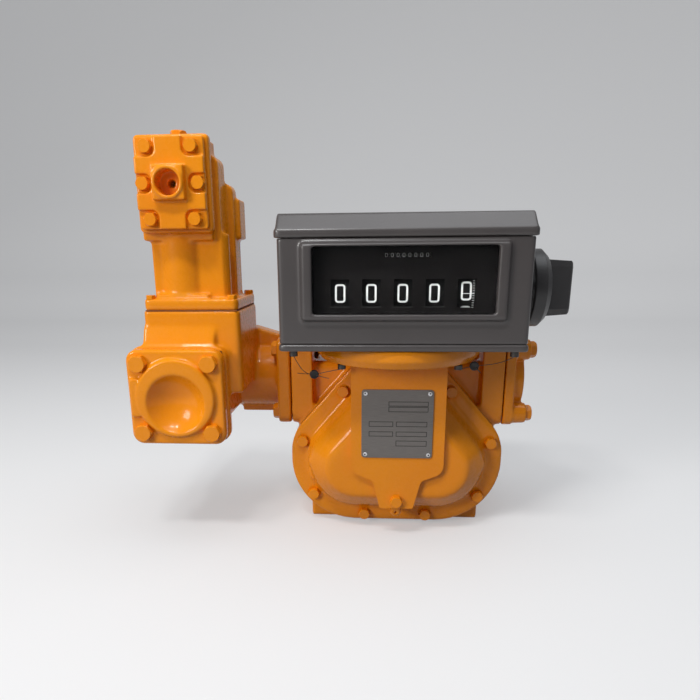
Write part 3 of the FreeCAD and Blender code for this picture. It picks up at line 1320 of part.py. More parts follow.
meter_housing()
front_cover()
rear_cover()
gaskets()
fasteners()
rotors()
timing_gears()
bearing_plates()
drive_train()
dust_cover()
counter_adapter()
register()
number_wheels()
reset_knob()
strainer()
outlet_flange()
air_eliminator()
float_gear()
seals()
doc.recompute()

for item in doc.Objects:
    if "Invalid" in item.State or "Error" in item.State:
        raise RuntimeError("failed: %s %s" % (item.Name, item.Label))
    if item.TypeId == "PartDesign::Pocket" and item.Shape.Volume >= item.BaseFeature.Shape.Volume:
        raise RuntimeError("pocket cuts nothing: %s" % item.Name)

os.makedirs("parts", exist_ok=True)
for item in NODES:
    if item.Shape.isNull() or not item.Shape.isValid():
        raise RuntimeError("bad shape: " + item.Label)
    item.Shape.exportStep("parts/%s.step" % item.Label)
print(len(NODES), "sub-parts")
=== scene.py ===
import json
import math

import bmesh
import bpy
from mathutils import Matrix, Vector


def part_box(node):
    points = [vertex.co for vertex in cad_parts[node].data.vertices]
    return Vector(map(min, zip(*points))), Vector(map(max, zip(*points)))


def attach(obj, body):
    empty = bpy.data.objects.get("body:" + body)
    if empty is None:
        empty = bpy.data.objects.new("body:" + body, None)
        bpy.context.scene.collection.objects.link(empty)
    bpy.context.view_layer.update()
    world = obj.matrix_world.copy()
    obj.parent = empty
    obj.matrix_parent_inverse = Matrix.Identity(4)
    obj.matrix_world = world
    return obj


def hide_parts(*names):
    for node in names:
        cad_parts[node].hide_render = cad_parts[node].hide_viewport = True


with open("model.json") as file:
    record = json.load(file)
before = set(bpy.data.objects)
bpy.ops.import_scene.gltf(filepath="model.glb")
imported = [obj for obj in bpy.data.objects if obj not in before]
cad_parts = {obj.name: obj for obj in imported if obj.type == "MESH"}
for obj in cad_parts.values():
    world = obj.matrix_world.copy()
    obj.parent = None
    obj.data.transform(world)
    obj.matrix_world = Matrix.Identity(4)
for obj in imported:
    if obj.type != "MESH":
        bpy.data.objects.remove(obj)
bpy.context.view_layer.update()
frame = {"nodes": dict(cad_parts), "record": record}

MM = 0.001
scene = bpy.context.scene


# Camera at the photograph's viewing angle. Its place is in millimetres.
CAMERA_PITCH, CAMERA_YAW, CAMERA_ROLL = math.radians(15.0), math.radians(3.9), math.radians(-0.5)
CAMERA_SPOT = (-33.6, -748.0, 341.0)
SENSOR_WIDTH, FOCAL_LENGTH = 36.0, 29.12
LENS_SHIFT = (0.0257, 0.0789)
NEAREST, FARTHEST = 0.02, 60.0


def place_camera():
    pitch, yaw, roll = CAMERA_PITCH, CAMERA_YAW, CAMERA_ROLL
    ahead = Vector((-math.sin(yaw) * math.cos(pitch), math.cos(yaw) * math.cos(pitch), -math.sin(pitch)))
    right = Vector((math.cos(yaw), math.sin(yaw), 0))
    up = right.cross(ahead)
    side = right * math.cos(roll) + up * math.sin(roll)
    top = up * math.cos(roll) - right * math.sin(roll)
    turn = Matrix((side, top, -ahead)).transposed().to_4x4()
    turn.translation = Vector(CAMERA_SPOT) * MM
    data = bpy.data.cameras.new("camera")
    data.sensor_width = SENSOR_WIDTH
    data.lens = FOCAL_LENGTH
    data.shift_x, data.shift_y = LENS_SHIFT
    data.clip_start, data.clip_end = NEAREST, FARTHEST
    camera = bpy.data.objects.new("camera", data)
    scene.collection.objects.link(camera)
    camera.matrix_world = turn
    scene.camera = camera


place_camera()


# Finishes. Each group gives the changes over the surface, and each material its own shader.
def link_nodes(tree, start, end):
    tree.links.new(start, end)


def new_group(name, inputs, outputs):
    group = bpy.data.node_groups.new(name, "ShaderNodeTree")
    for label, kind, value in inputs:
        socket = group.interface.new_socket(name=label, in_out="INPUT", socket_type=kind)
        socket.default_value = value
    for label, kind in outputs:
        group.interface.new_socket(name=label, in_out="OUTPUT", socket_type=kind)
    start = group.nodes.new("NodeGroupInput")
    end = group.nodes.new("NodeGroupOutput")
    return group, start, end


FILM_INPUTS = [("Colour", "NodeSocketColor", (0.8, 0.24, 0.01, 1)),
               ("Second Colour", "NodeSocketColor", (0.7, 0.18, 0.01, 1)),
               ("Mottle Scale", "NodeSocketFloat", 20.0), ("Grain Scale", "NodeSocketFloat", 300.0),
               ("Grain Share", "NodeSocketFloat", 0.3), ("Least Roughness", "NodeSocketFloat", 0.2),
               ("Most Roughness", "NodeSocketFloat", 0.35)]
SURFACE_OUTPUTS = [("Colour", "NodeSocketColor"), ("Roughness", "NodeSocketFloat"),
                   ("Height", "NodeSocketFloat")]
MOTTLE_DETAIL, GRAIN_DETAIL = 3.0, 2.0
# Most of a noise's values lie between these two.
NOISE_LOW, NOISE_HIGH = 0.3, 0.7
# A Mix node's two inputs and its result, by the kind of data.
MIX_SOCKETS = {"RGBA": (6, 7, 2), "FLOAT": (2, 3, 0)}


def noise(tree, vector, scale, detail):
    item = tree.nodes.new("ShaderNodeTexNoise")
    item.inputs["Detail"].default_value = detail
    link_nodes(tree, vector, item.inputs["Vector"])
    if hasattr(scale, "links"):
        link_nodes(tree, scale, item.inputs["Scale"])
    else:
        item.inputs["Scale"].default_value = scale
    return item.outputs["Fac"]


def spread(tree, value, low, high, to_low, to_high):
    item = tree.nodes.new("ShaderNodeMapRange")
    link_nodes(tree, value, item.inputs["Value"])
    for label, given in (("From Min", low), ("From Max", high), ("To Min", to_low), ("To Max", to_high)):
        if hasattr(given, "links"):
            link_nodes(tree, given, item.inputs[label])
        else:
            item.inputs[label].default_value = given
    return item.outputs["Result"]


def blend(tree, kind, share, first, second):
    item = tree.nodes.new("ShaderNodeMix")
    item.data_type = kind
    first_input, second_input, result = MIX_SOCKETS[kind]
    link_nodes(tree, share, item.inputs[0])
    link_nodes(tree, first, item.inputs[first_input])
    link_nodes(tree, second, item.inputs[second_input])
    return item.outputs[result]


def close_group(group, start, end, mottle, grain, tone):
    """Joins a group's noises to its outputs: tone mixes the two colours, and grain sets the roughness."""
    link_nodes(group, blend(group, "RGBA", tone, start.outputs["Colour"], start.outputs["Second Colour"]),
               end.inputs["Colour"])
    link_nodes(group, spread(group, grain, NOISE_LOW, NOISE_HIGH, start.outputs["Least Roughness"],
                             start.outputs["Most Roughness"]), end.inputs["Roughness"])
    link_nodes(group, blend(group, "FLOAT", start.outputs["Grain Share"], mottle, grain), end.inputs["Height"])
    return group


def paint_film_group():
    """Sprayed paint: slow changes of tone, fine orange-peel grain and uneven gloss."""
    group, start, end = new_group("paint_film", FILM_INPUTS, SURFACE_OUTPUTS)
    place = group.nodes.new("ShaderNodeTexCoord").outputs["Object"]
    mottle = noise(group, place, start.outputs["Mottle Scale"], MOTTLE_DETAIL)
    grain = noise(group, place, start.outputs["Grain Scale"], GRAIN_DETAIL)
    tone = spread(group, mottle, 0.35, NOISE_HIGH, 0.0, 1.0)
    return close_group(group, start, end, mottle, grain, tone)


def drawn_metal_group():
    """Metal with fine lines along one axis: stretched noise over the object's own coordinates."""
    group, start, end = new_group("drawn_metal", FILM_INPUTS + [("Stretch", "NodeSocketVector", (1, 1, 1))],
                                  SURFACE_OUTPUTS)
    place = group.nodes.new("ShaderNodeTexCoord").outputs["Object"]
    mapping = group.nodes.new("ShaderNodeMapping")
    link_nodes(group, place, mapping.inputs["Vector"])
    link_nodes(group, start.outputs["Stretch"], mapping.inputs["Scale"])
    lines = noise(group, mapping.outputs["Vector"], start.outputs["Grain Scale"], MOTTLE_DETAIL)
    mottle = noise(group, place, start.outputs["Mottle Scale"], MOTTLE_DETAIL)
    tone = spread(group, lines, NOISE_LOW, NOISE_HIGH, 0.0, 1.0)
    return close_group(group, start, end, mottle, lines, tone)


PAINT_FILM = paint_film_group()
DRAWN_METAL = drawn_metal_group()


def new_material(name):
    """A material with only a shader and an output node, not yet joined."""
    material = bpy.data.materials.new(name)
    material.use_nodes = True
    tree = material.node_tree
    tree.nodes.clear()
    shader = tree.nodes.new("ShaderNodeBsdfPrincipled")
    end = tree.nodes.new("ShaderNodeOutputMaterial")
    return material, tree, shader, end


def make_finish(name, group, values, fixed, bump=0.1, depth=0.0004, edge=0.0):
    """A material: a group's colour, roughness and height on one shader with fixed numbers."""
    material, tree, shader, end = new_material(name)
    link_nodes(tree, shader.outputs["BSDF"], end.inputs["Surface"])
    surface = tree.nodes.new("ShaderNodeGroup")
    surface.node_tree = group
    for label, value in values.items():
        surface.inputs[label].default_value = value
    link_nodes(tree, surface.outputs["Colour"], shader.inputs["Base Color"])
    link_nodes(tree, surface.outputs["Roughness"], shader.inputs["Roughness"])
    relief = tree.nodes.new("ShaderNodeBump")
    relief.inputs["Strength"].default_value = bump
    relief.inputs["Distance"].default_value = depth
    link_nodes(tree, surface.outputs["Height"], relief.inputs["Height"])
    link_nodes(tree, relief.outputs["Normal"], shader.inputs["Normal"])
    if edge:
        rounding = tree.nodes.new("ShaderNodeBevel")
        rounding.samples = 4
        rounding.inputs["Radius"].default_value = edge
        link_nodes(tree, rounding.outputs["Normal"], relief.inputs["Normal"])
    for label, value in fixed.items():
        shader.inputs[label].default_value = value
    return material


def tones(first, second, mottle, grain, share, least, most):
    """Two colours, the scales of mottle and grain, grain's share of the relief, and the roughness range."""
    return {"Colour": (*first, 1), "Second Colour": (*second, 1), "Mottle Scale": mottle,
            "Grain Scale": grain, "Grain Share": share, "Least Roughness": least, "Most Roughness": most}


def drawn(stretch, *given):
    return dict(tones(*given), Stretch=stretch)


METAL = {"Metallic": 1.0}
ENAMEL = {"Coat Weight": 0.3, "Coat Roughness": 0.04, "Specular IOR Level": 0.12}
ORANGE = tones((0.84, 0.276, 0.006), (0.81, 0.250, 0.006), 11.0, 190.0, 0.35, 0.24, 0.32)

FINISHES = {
    "orange_casting": make_finish(
        "orange_enamel_on_casting", PAINT_FILM, ORANGE, ENAMEL, bump=0.4, depth=0.0009),
    "orange_bolt": make_finish(
        "orange_enamel_on_bolts", PAINT_FILM, ORANGE, ENAMEL, bump=0.2, depth=0.0003, edge=0.0004),
    "gasket": make_finish(
        "gasket_sheet", PAINT_FILM,
        tones((0.30, 0.085, 0.006), (0.21, 0.060, 0.006), 80, 900, 0.5, 0.6, 0.8), {}, bump=0.3),
    "machined_iron": make_finish(
        "turned_iron", DRAWN_METAL,
        drawn((1, 1, 8), (0.30, 0.30, 0.31), (0.22, 0.22, 0.23), 20, 300, 0.6, 0.3, 0.5), METAL, bump=0.1),
    "carbon_bush": make_finish(
        "carbon_bearing", PAINT_FILM,
        tones((0.02, 0.02, 0.022), (0.03, 0.03, 0.032), 60, 500, 0.5, 0.4, 0.6), {}, bump=0.1),
    "brass_gland": make_finish(
        "turned_brass", DRAWN_METAL,
        drawn((1, 8, 1), (0.72, 0.48, 0.17), (0.60, 0.38, 0.12), 20, 300, 0.6, 0.25, 0.42), METAL,
        bump=0.1),
    "nameplate_metal": make_finish(
        "dark_brushed_plate", DRAWN_METAL,
        drawn((1, 1, 30), (0.190, 0.176, 0.166), (0.150, 0.139, 0.131), 30, 90, 0.8, 0.42, 0.56),
        {"Metallic": 0.45}, bump=0.06, depth=0.0002, edge=0.0004),
    "bright_steel": make_finish(
        "bright_steel", DRAWN_METAL,
        drawn((6, 1, 1), (0.62, 0.62, 0.63), (0.5, 0.5, 0.51), 30, 400, 0.6, 0.18, 0.32), METAL,
        bump=0.06, depth=0.0003, edge=0.0004),
    "dark_steel": make_finish(
        "blackened_steel", DRAWN_METAL,
        drawn((1, 1, 4), (0.05, 0.048, 0.046), (0.09, 0.085, 0.08), 60, 500, 0.6, 0.35, 0.55), METAL,
        bump=0.1),
    "register_paint": make_finish(
        "register_grey_enamel", PAINT_FILM,
        tones((0.068, 0.060, 0.059), (0.061, 0.054, 0.053), 18, 700, 0.75, 0.30, 0.40),
        {"Coat Weight": 0.25, "Coat Roughness": 0.16}, bump=0.28, depth=0.0003, edge=0.0012),
    "dial_black": make_finish(
        "dial_black", PAINT_FILM,
        tones((0.006, 0.005, 0.005), (0.009, 0.008, 0.008), 40, 900, 0.6, 0.6, 0.75),
        {"Specular IOR Level": 0.05}, bump=0.1),
    "frame_steel": make_finish(
        "plated_sheet", DRAWN_METAL,
        drawn((1, 6, 1), (0.36, 0.36, 0.35), (0.29, 0.29, 0.28), 24, 200, 0.6, 0.3, 0.45), METAL,
        bump=0.08),
    "basket_steel": make_finish(
        "basket_sheet", DRAWN_METAL,
        drawn((1, 6, 1), (0.5, 0.5, 0.5), (0.42, 0.42, 0.42), 24, 300, 0.6, 0.25, 0.4), METAL, bump=0.08),
    "lead": make_finish(
        "dull_lead", PAINT_FILM,
        tones((0.020, 0.019, 0.019), (0.045, 0.043, 0.042), 220, 900, 0.5, 0.4, 0.6), {"Metallic": 0.6},
        bump=0.5, depth=0.0004, edge=0.0006),
    "seal_wire": make_finish(
        "twisted_wire", DRAWN_METAL,
        drawn((1, 1, 1), (0.11, 0.085, 0.07), (0.05, 0.04, 0.035), 300, 1500, 0.7, 0.35, 0.5), METAL,
        bump=0.4, depth=0.0002),
    "rotor_aluminium": make_finish(
        "machined_aluminium", DRAWN_METAL,
        drawn((1, 1, 8), (0.62, 0.63, 0.64), (0.52, 0.53, 0.54), 20, 260, 0.7, 0.25, 0.4), METAL,
        bump=0.08),
    "gear_steel": make_finish(
        "hobbed_steel", DRAWN_METAL,
        drawn((1, 6, 1), (0.42, 0.42, 0.43), (0.33, 0.33, 0.34), 24, 300, 0.7, 0.25, 0.4), METAL,
        bump=0.08),
    "knob_plastic": make_finish(
        "knob_plastic", PAINT_FILM,
        tones((0.030, 0.028, 0.029), (0.037, 0.035, 0.036), 30, 600, 0.6, 0.30, 0.42),
        {"Specular IOR Level": 0.5}, bump=0.15, depth=0.0003, edge=0.0012),
    "float_steel": make_finish(
        "float_sheet", DRAWN_METAL,
        drawn((1, 1, 6), (0.55, 0.55, 0.56), (0.47, 0.47, 0.48), 24, 240, 0.6, 0.2, 0.35), METAL,
        bump=0.06),
    "wheel_black": make_finish(
        "wheel_black", PAINT_FILM,
        tones((0.006, 0.006, 0.006), (0.010, 0.009, 0.009), 60, 800, 0.5, 0.45, 0.6),
        {"Specular IOR Level": 0.05}, bump=0.1, depth=0.0002),
}
NUMERAL_WHITE = make_finish(
    "numeral_white", PAINT_FILM, tones((0.86, 0.86, 0.84), (0.80, 0.80, 0.78), 120, 900, 0.5, 0.4, 0.5),
    {}, bump=0.05)
NUMERAL_GREY = make_finish(
    "numeral_grey", PAINT_FILM, tones((0.50, 0.49, 0.48), (0.44, 0.43, 0.42), 120, 900, 0.5, 0.5, 0.6),
    {}, bump=0.05)
RULE_GREY = make_finish(
    "rule_grey", PAINT_FILM, tones((0.05, 0.05, 0.05), (0.04, 0.04, 0.04), 120, 900, 0.5, 0.6, 0.7), {},
    bump=0.05)
# Dark ink for the nameplate's printed boxes; also the painted shade in the rivets' hollows.
INK_AND_HOLLOW_SHADE = make_finish(
    "plate_ink_and_hollow_shade", PAINT_FILM, tones((0.02, 0.018, 0.017), (0.03, 0.027, 0.025), 120, 900, 0.5, 0.5, 0.6),
    {}, bump=0.05)


WINDOW_COLOUR, WINDOW_IOR = (0.96, 0.98, 0.98, 1), 1.18
SMEAR_SCALE = 30.0


def window_finish():
    """A clear window with faint smears in its gloss. Light passes it on the way to the wheels."""
    material, tree, shader, end = new_material("clear_window")
    shader.inputs["Base Color"].default_value = WINDOW_COLOUR
    shader.inputs["IOR"].default_value = WINDOW_IOR
    shader.inputs["Transmission Weight"].default_value = 1.0
    place = tree.nodes.new("ShaderNodeTexCoord").outputs["Object"]
    smears = noise(tree, place, SMEAR_SCALE, MOTTLE_DETAIL)
    link_nodes(tree, spread(tree, smears, 0.4, 0.8, 0.01, 0.05), shader.inputs["Roughness"])
    clear = tree.nodes.new("ShaderNodeBsdfTransparent")
    path = tree.nodes.new("ShaderNodeLightPath")
    mix = tree.nodes.new("ShaderNodeMixShader")
    link_nodes(tree, path.outputs["Is Shadow Ray"], mix.inputs["Fac"])
    link_nodes(tree, shader.outputs["BSDF"], mix.inputs[1])
    link_nodes(tree, clear.outputs["BSDF"], mix.inputs[2])
    link_nodes(tree, mix.outputs["Shader"], end.inputs["Surface"])
    return material


FINISHES["window_glass"] = window_finish()
SLOT_OF = {row["node"]: row["material_slot"] for row in frame["record"]["subparts"]}
for label, item in frame["nodes"].items():
    item.data.materials.clear()
    item.data.materials.append(FINISHES[SLOT_OF[label]])


# Making pieces.
def piece(name, shape, material, body="meter", smooth=False):
    """A finished piece from a bmesh, at the origin, riding on a body."""
    mesh = bpy.data.meshes.new(name)
    bmesh.ops.recalc_face_normals(shape, faces=shape.faces)
    shape.to_mesh(mesh)
    shape.free()
    if smooth:
        mesh.shade_smooth()
    item = bpy.data.objects.new(name, mesh)
    scene.collection.objects.link(item)
    mesh.materials.append(material)
    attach(item, body)
    return item


UPRIGHT = Matrix.Rotation(math.radians(90), 3, "X")


def flat_square(shape, width, height):
    """A flat rectangle about the origin, in metres, lying in X and Y."""
    verts = bmesh.ops.create_grid(shape, x_segments=1, y_segments=1, size=0.5)["verts"]
    bmesh.ops.scale(shape, verts=verts, vec=(width, height, 1))
    return verts


def everything(shape):
    return shape.verts[:] + shape.edges[:] + shape.faces[:]


# Seal wires: fine cords from a screw, through a lead seal, to the next screw.
LEFT_WIRE = [(-116, -143, 233.2), (-113, -134, 223), (-107.5, -121, 211), (-101, -110, 206),
             (-94, -108, 206.5), (-80, -112, 210.5), (-66, -118, 214.2)]
RIGHT_WIRE = [(119, -143, 233.2), (113, -134, 227), (101, -122, 221), (88, -112, 218), (80, -111, 216.5),
              (66, -117, 214.2)]
WIRE_RADIUS, TAIL_RADIUS, STUB_RADIUS = 0.0004, 0.00035, 0.0006
SEAL_RADIUS, SEAL_THICKNESS, SEAL_ROUND = 5.2 * MM, 3.6 * MM, 0.8 * MM


def wire_curve(name, route, radius):
    curve = bpy.data.curves.new(name, "CURVE")
    curve.dimensions = "3D"
    spline = curve.splines.new("NURBS")
    spline.points.add(len(route) - 1)
    for point, spot in zip(spline.points, route):
        point.co = (*(Vector(spot) * MM), 1)
    spline.order_u = 3
    spline.use_endpoint_u = True
    curve.resolution_u = 10
    curve.bevel_depth = radius
    curve.bevel_resolution = 3
    curve.use_fill_caps = True
    item = bpy.data.objects.new(name, curve)
    scene.collection.objects.link(item)
    curve.materials.append(FINISHES["seal_wire"])
    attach(item, "meter")
    return item


def lead_seal(name, centre, tilt):
    """A pressed lead disc with rounded edges and a shallow dimple on each face."""
    shape = bmesh.new()
    bmesh.ops.create_cone(shape, segments=36, cap_ends=True, radius1=SEAL_RADIUS, radius2=SEAL_RADIUS,
                          depth=SEAL_THICKNESS)
    caps = [face for face in shape.faces if len(face.verts) > 4]
    bmesh.ops.bevel(shape, geom=[edge for face in caps for edge in face.edges], offset=SEAL_ROUND,
                    segments=3, profile=0.5, affect="EDGES", material=-1)
    caps = [face for face in shape.faces if len(face.verts) > 6]
    bmesh.ops.inset_region(shape, faces=caps, thickness=1.2 * MM, depth=-0.5 * MM)
    bmesh.ops.rotate(shape, verts=shape.verts, matrix=UPRIGHT)
    bmesh.ops.rotate(shape, verts=shape.verts, matrix=Matrix.Rotation(tilt, 3, "Z"))
    bmesh.ops.translate(shape, verts=shape.verts, vec=Vector(centre) * MM)
    return piece(name, shape, FINISHES["lead"], smooth=True)


def make_seals():
    left_seal = lead_seal("left_lead_seal", (-97.5, -109, 206.25), 0.2)
    right_seal = lead_seal("right_lead_seal", (84, -111.5, 217.25), -0.15)
    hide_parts("lead_seals")
    left = wire_curve("left_wire", LEFT_WIRE, WIRE_RADIUS)
    right = wire_curve("right_wire", RIGHT_WIRE, WIRE_RADIUS)
    left_tail = [(-98, -109, 206.4), (-106, -111, 206.8), (-116, -116, 209)]
    left_end = [(-97, -109, 206.2), (-90, -111, 203.6), (-80, -114, 202.6)]
    right_tail = [(84, -111.5, 217), (88, -115, 213.6), (90.5, -117, 210.5)]
    tails = [wire_curve("left_wire_tail", left_tail, TAIL_RADIUS),
             wire_curve("left_wire_end", left_end, TAIL_RADIUS),
             wire_curve("right_wire_tail", right_tail, STUB_RADIUS)]
    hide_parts("left_seal_wire")
    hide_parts("right_seal_wire")


make_seals()


# Castings: the CAD solid's skin, drawn again as an even mesh whose corners are rounded as a mould
# rounds them. Each call gives the size of a voxel in millimetres and the rounds of smoothing.
DOME_FRONT = -0.0675


def even_out(shape, verts, times):
    for _ in range(times):
        bmesh.ops.smooth_vert(shape, verts=verts, factor=0.5, use_axis_x=True, use_axis_y=True,
                              use_axis_z=True)


def casting(name, grain, rounds, soften=None, keep=1.0):
    mesh = frame["nodes"][name].data.copy()
    shape = bmesh.new()
    shape.from_mesh(mesh)
    bmesh.ops.remove_doubles(shape, verts=shape.verts, dist=1e-6)
    shape.to_mesh(mesh)
    shape.free()
    item = bpy.data.objects.new(name + "_skin", mesh)
    scene.collection.objects.link(item)
    even = item.modifiers.new("even mesh", "REMESH")
    even.mode = "VOXEL"
    even.voxel_size = grain * MM
    item.data = settled(item)
    shape = bmesh.new()
    shape.from_mesh(item.data)
    even_out(shape, shape.verts, rounds)
    if soften:
        chosen, times = soften
        even_out(shape, [vert for vert in shape.verts if chosen(vert.co)], times)
    shape.to_mesh(item.data)
    shape.free()
    if keep < 1.0:
        thin = item.modifiers.new("fewer faces", "DECIMATE")
        thin.ratio = keep
        item.data = settled(item)
    item.data.shade_smooth()
    item.data.materials.clear()
    item.data.materials.append(FINISHES[SLOT_OF[name]])
    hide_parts(name)
    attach(item, "meter")
    return item


def settled(item):
    """The mesh of an object with its modifiers worked in; the modifiers are taken off."""
    bpy.context.view_layer.update()
    shown = item.evaluated_get(bpy.context.evaluated_depsgraph_get())
    mesh = bpy.data.meshes.new_from_object(shown)
    item.modifiers.clear()
    return mesh


casting("vent_cover", 0.9, 5)
casting("strainer_cover", 1.1, 6)
casting("air_eliminator_body", 1.5, 6)
casting("strainer_body", 1.8, 5)
casting("front_cover", 1.7, 4, soften=(lambda spot: spot.y < DOME_FRONT, 26))
casting("rear_cover", 2.0, 3)
casting("meter_housing", 2.2, 3, keep=0.8)
casting("outlet_flange", 1.3, 5)
casting("counter_adapter", 1.6, 3)
casting("register_case", 1.4, 3, keep=0.6)
casting("register_lid", 1.4, 3, keep=0.5)
casting("register_base", 1.4, 3, keep=0.5)


# Numerals on the wheels. The dial's places and sizes are in millimetres.
WHEEL_PITCH, WHEEL_Y, WHEEL_Z = 32.5, -107, 300.5
WHEEL_SKIN, NUMERAL_HEIGHT, NUMERAL_WIDTH = 40.12, 19.3, 10.9
LAST_WHEEL_TURN = math.radians(3.0)
TOTAL_PITCH, TOTAL_X, TOTAL_Y, TOTAL_Z = 6, 3.5, -137, 339
TOTAL_SKIN, TOTAL_HEIGHT, TOTAL_WIDTH = 7.46, 4, 2.7
DIGITS = 10
STROKE_SHARE, CORNER_SHARE, ONE_SHARE = 0.18, 0.3, 0.45


def cut_across(shape, height):
    """Level cuts, so that a flat numeral can bend round its wheel."""
    for step in range(-4, 5):
        bmesh.ops.bisect_plane(shape, geom=everything(shape), plane_co=(0, height * step / 9, 0),
                               plane_no=(0, 1, 0))


def letter_mesh(text, height, width):
    """A flat numeral of a given height and width, centred, lying in X and Y."""
    curve = bpy.data.curves.new("numeral", "FONT")
    curve.body = text
    curve.align_x = "CENTER"
    curve.resolution_u = 6
    item = bpy.data.objects.new("numeral", curve)
    scene.collection.objects.link(item)
    bpy.context.view_layer.update()
    mesh = bpy.data.meshes.new_from_object(item)
    bpy.data.objects.remove(item)
    shape = bmesh.new()
    shape.from_mesh(mesh)
    low = Vector((min(vert.co.x for vert in shape.verts), min(vert.co.y for vert in shape.verts), 0))
    high = Vector((max(vert.co.x for vert in shape.verts), max(vert.co.y for vert in shape.verts), 0))
    middle, size = (low + high) / 2, high - low
    bmesh.ops.translate(shape, verts=shape.verts, vec=-middle)
    wide = width * (ONE_SHARE if text == "1" else 1.0)
    bmesh.ops.scale(shape, verts=shape.verts, vec=(wide / size.x, height / size.y, 1))
    cut_across(shape, height)
    return shape


def nought(height, width, stroke):
    """A flat ring with rounded corners, the nought of a large-numeral wheel."""
    shape = bmesh.new()
    flat_square(shape, width, height)
    bmesh.ops.bevel(shape, geom=shape.verts[:], offset=width * CORNER_SHARE, segments=5, profile=0.5,
                    affect="VERTICES", material=-1)
    shape.faces.ensure_lookup_table()
    face = shape.faces[0]
    bmesh.ops.inset_region(shape, faces=[face], thickness=stroke, depth=0, use_boundary=True,
                           use_even_offset=True)
    bmesh.ops.delete(shape, geom=[face], context="FACES")
    cut_across(shape, height)
    return shape


def nine(height, width, stroke):
    """The nought with its left side open below and a bar across, so that it reads as a nine."""
    shape = nought(height, width, stroke)
    gone = [face for face in shape.faces if face.calc_center_median().x < -width * 0.3
            and -0.34 * height < face.calc_center_median().y < -0.05 * height]
    bmesh.ops.delete(shape, geom=gone, context="FACES")
    bar = flat_square(shape, width - 1.9 * stroke, stroke)
    bmesh.ops.translate(shape, verts=bar, vec=(0, -0.02 * height, 0))
    return shape


def numerals(name, body, x, y, z, radius, height, width, first_angle, material):
    """Ten numerals round a wheel, each above the one before it."""
    whole = bmesh.new()
    stroke = width * STROKE_SHARE
    for digit in range(DIGITS):
        if digit == 0:
            flat = nought(height, width, stroke)
        elif digit == 9:
            flat = nine(height, width, stroke)
        else:
            flat = letter_mesh(str(digit), height, width)
        for vert in flat.verts:
            angle = first_angle + math.radians(360 / DIGITS * digit) + vert.co.y / radius
            vert.co = Vector((x + vert.co.x, y - radius * math.cos(angle), z + radius * math.sin(angle)))
        mesh = bpy.data.meshes.new("numeral")
        flat.to_mesh(mesh)
        flat.free()
        whole.from_mesh(mesh)
        bpy.data.meshes.remove(mesh)
    return piece(name, whole, material, body)


def make_numerals():
    for k in range(5):
        wheel = "number_wheel_%d" % (k + 1)
        turn = LAST_WHEEL_TURN if k == 4 else 0.0
        numerals(wheel + "_numerals", wheel, (k - 2) * WHEEL_PITCH * MM, WHEEL_Y * MM, WHEEL_Z * MM,
                 WHEEL_SKIN * MM, NUMERAL_HEIGHT * MM, NUMERAL_WIDTH * MM, turn, NUMERAL_WHITE)
    for k in range(8):
        wheel = "totaliser_wheel_%d" % (k + 1)
        numerals(wheel + "_numerals", wheel, (TOTAL_X + (k - 3.5) * TOTAL_PITCH) * MM, TOTAL_Y * MM,
                 TOTAL_Z * MM, TOTAL_SKIN * MM, TOTAL_HEIGHT * MM, TOTAL_WIDTH * MM, 0.0, NUMERAL_GREY)


make_numerals()


TICKS, TICK_LENGTH, TICK_THICKNESS = 100, 2.2, 0.45
TICK_X, TICK_RADIUS = 72.4, 40.14


def wheel_graduations():
    """Fine ticks round the right-hand wheel, beside its numerals."""
    shape = bmesh.new()
    flat_square(shape, TICK_LENGTH * MM, TICK_THICKNESS * MM)
    bmesh.ops.rotate(shape, verts=shape.verts, matrix=UPRIGHT)
    centre = Vector((0, WHEEL_Y, WHEEL_Z)) * MM
    bmesh.ops.translate(shape, verts=shape.verts, vec=Vector((TICK_X, WHEEL_Y - TICK_RADIUS, WHEEL_Z)) * MM)
    bmesh.ops.spin(shape, geom=everything(shape), cent=centre, axis=(1, 0, 0), steps=TICKS - 1,
                   angle=math.radians(360 * (TICKS - 1) / TICKS), use_duplicate=True)
    return piece("number_wheel_5_ticks", shape, NUMERAL_WHITE, "number_wheel_5")


wheel_graduations()


# Plate boxes and dial lines: thin printed frames and rules, without words.
def printed_frame(shape, x0, x1, z0, z1, line, y):
    """An upright rectangle in millimetres: a frame with lines of a given width, or filled where that is 0."""
    verts = flat_square(shape, (x1 - x0) * MM, (z1 - z0) * MM)
    bmesh.ops.rotate(shape, verts=verts, matrix=UPRIGHT)
    bmesh.ops.translate(shape, verts=verts, vec=Vector(((x0 + x1) / 2, y, (z0 + z1) / 2)) * MM)
    face = verts[0].link_faces[0]
    if line:
        bmesh.ops.inset_region(shape, faces=[face], thickness=line * MM, depth=0, use_boundary=True,
                               use_even_offset=True)
        bmesh.ops.delete(shape, geom=[face], context="FACES")


# Left, right, lower and upper edges of the boxes on the nameplate.
PLATE_BOXES = ((-11.3, 34.7, 169.3, 175.1), (-11.3, 34.7, 162.4, 168.7),
               (-34.0, -5.6, 144.5, 150.9), (-2.3, 33.9, 144.5, 150.9),
               (-34.0, -5.6, 132.5, 138.7), (-2.3, 33.9, 132.5, 138.7), (-2.3, 33.9, 120.6, 127.6))
PLATE_FRONT, BOX_LINE = -111.56, 0.8


def make_plate_boxes():
    shape = bmesh.new()
    for x0, x1, z0, z1 in PLATE_BOXES:
        printed_frame(shape, x0, x1, z0, z1, BOX_LINE, PLATE_FRONT)
    piece("nameplate_boxes", shape, INK_AND_HOLLOW_SHADE)


make_plate_boxes()


RULE_HALF, RULE_LOW, RULE_HIGH = 10.5, 287.0, 287.4
READING_LEFT, READING_RIGHT, READING_LOW, READING_HIGH = 58.4, 72.0, 300.3, 300.8
PRINT_DEPTH = 0.04


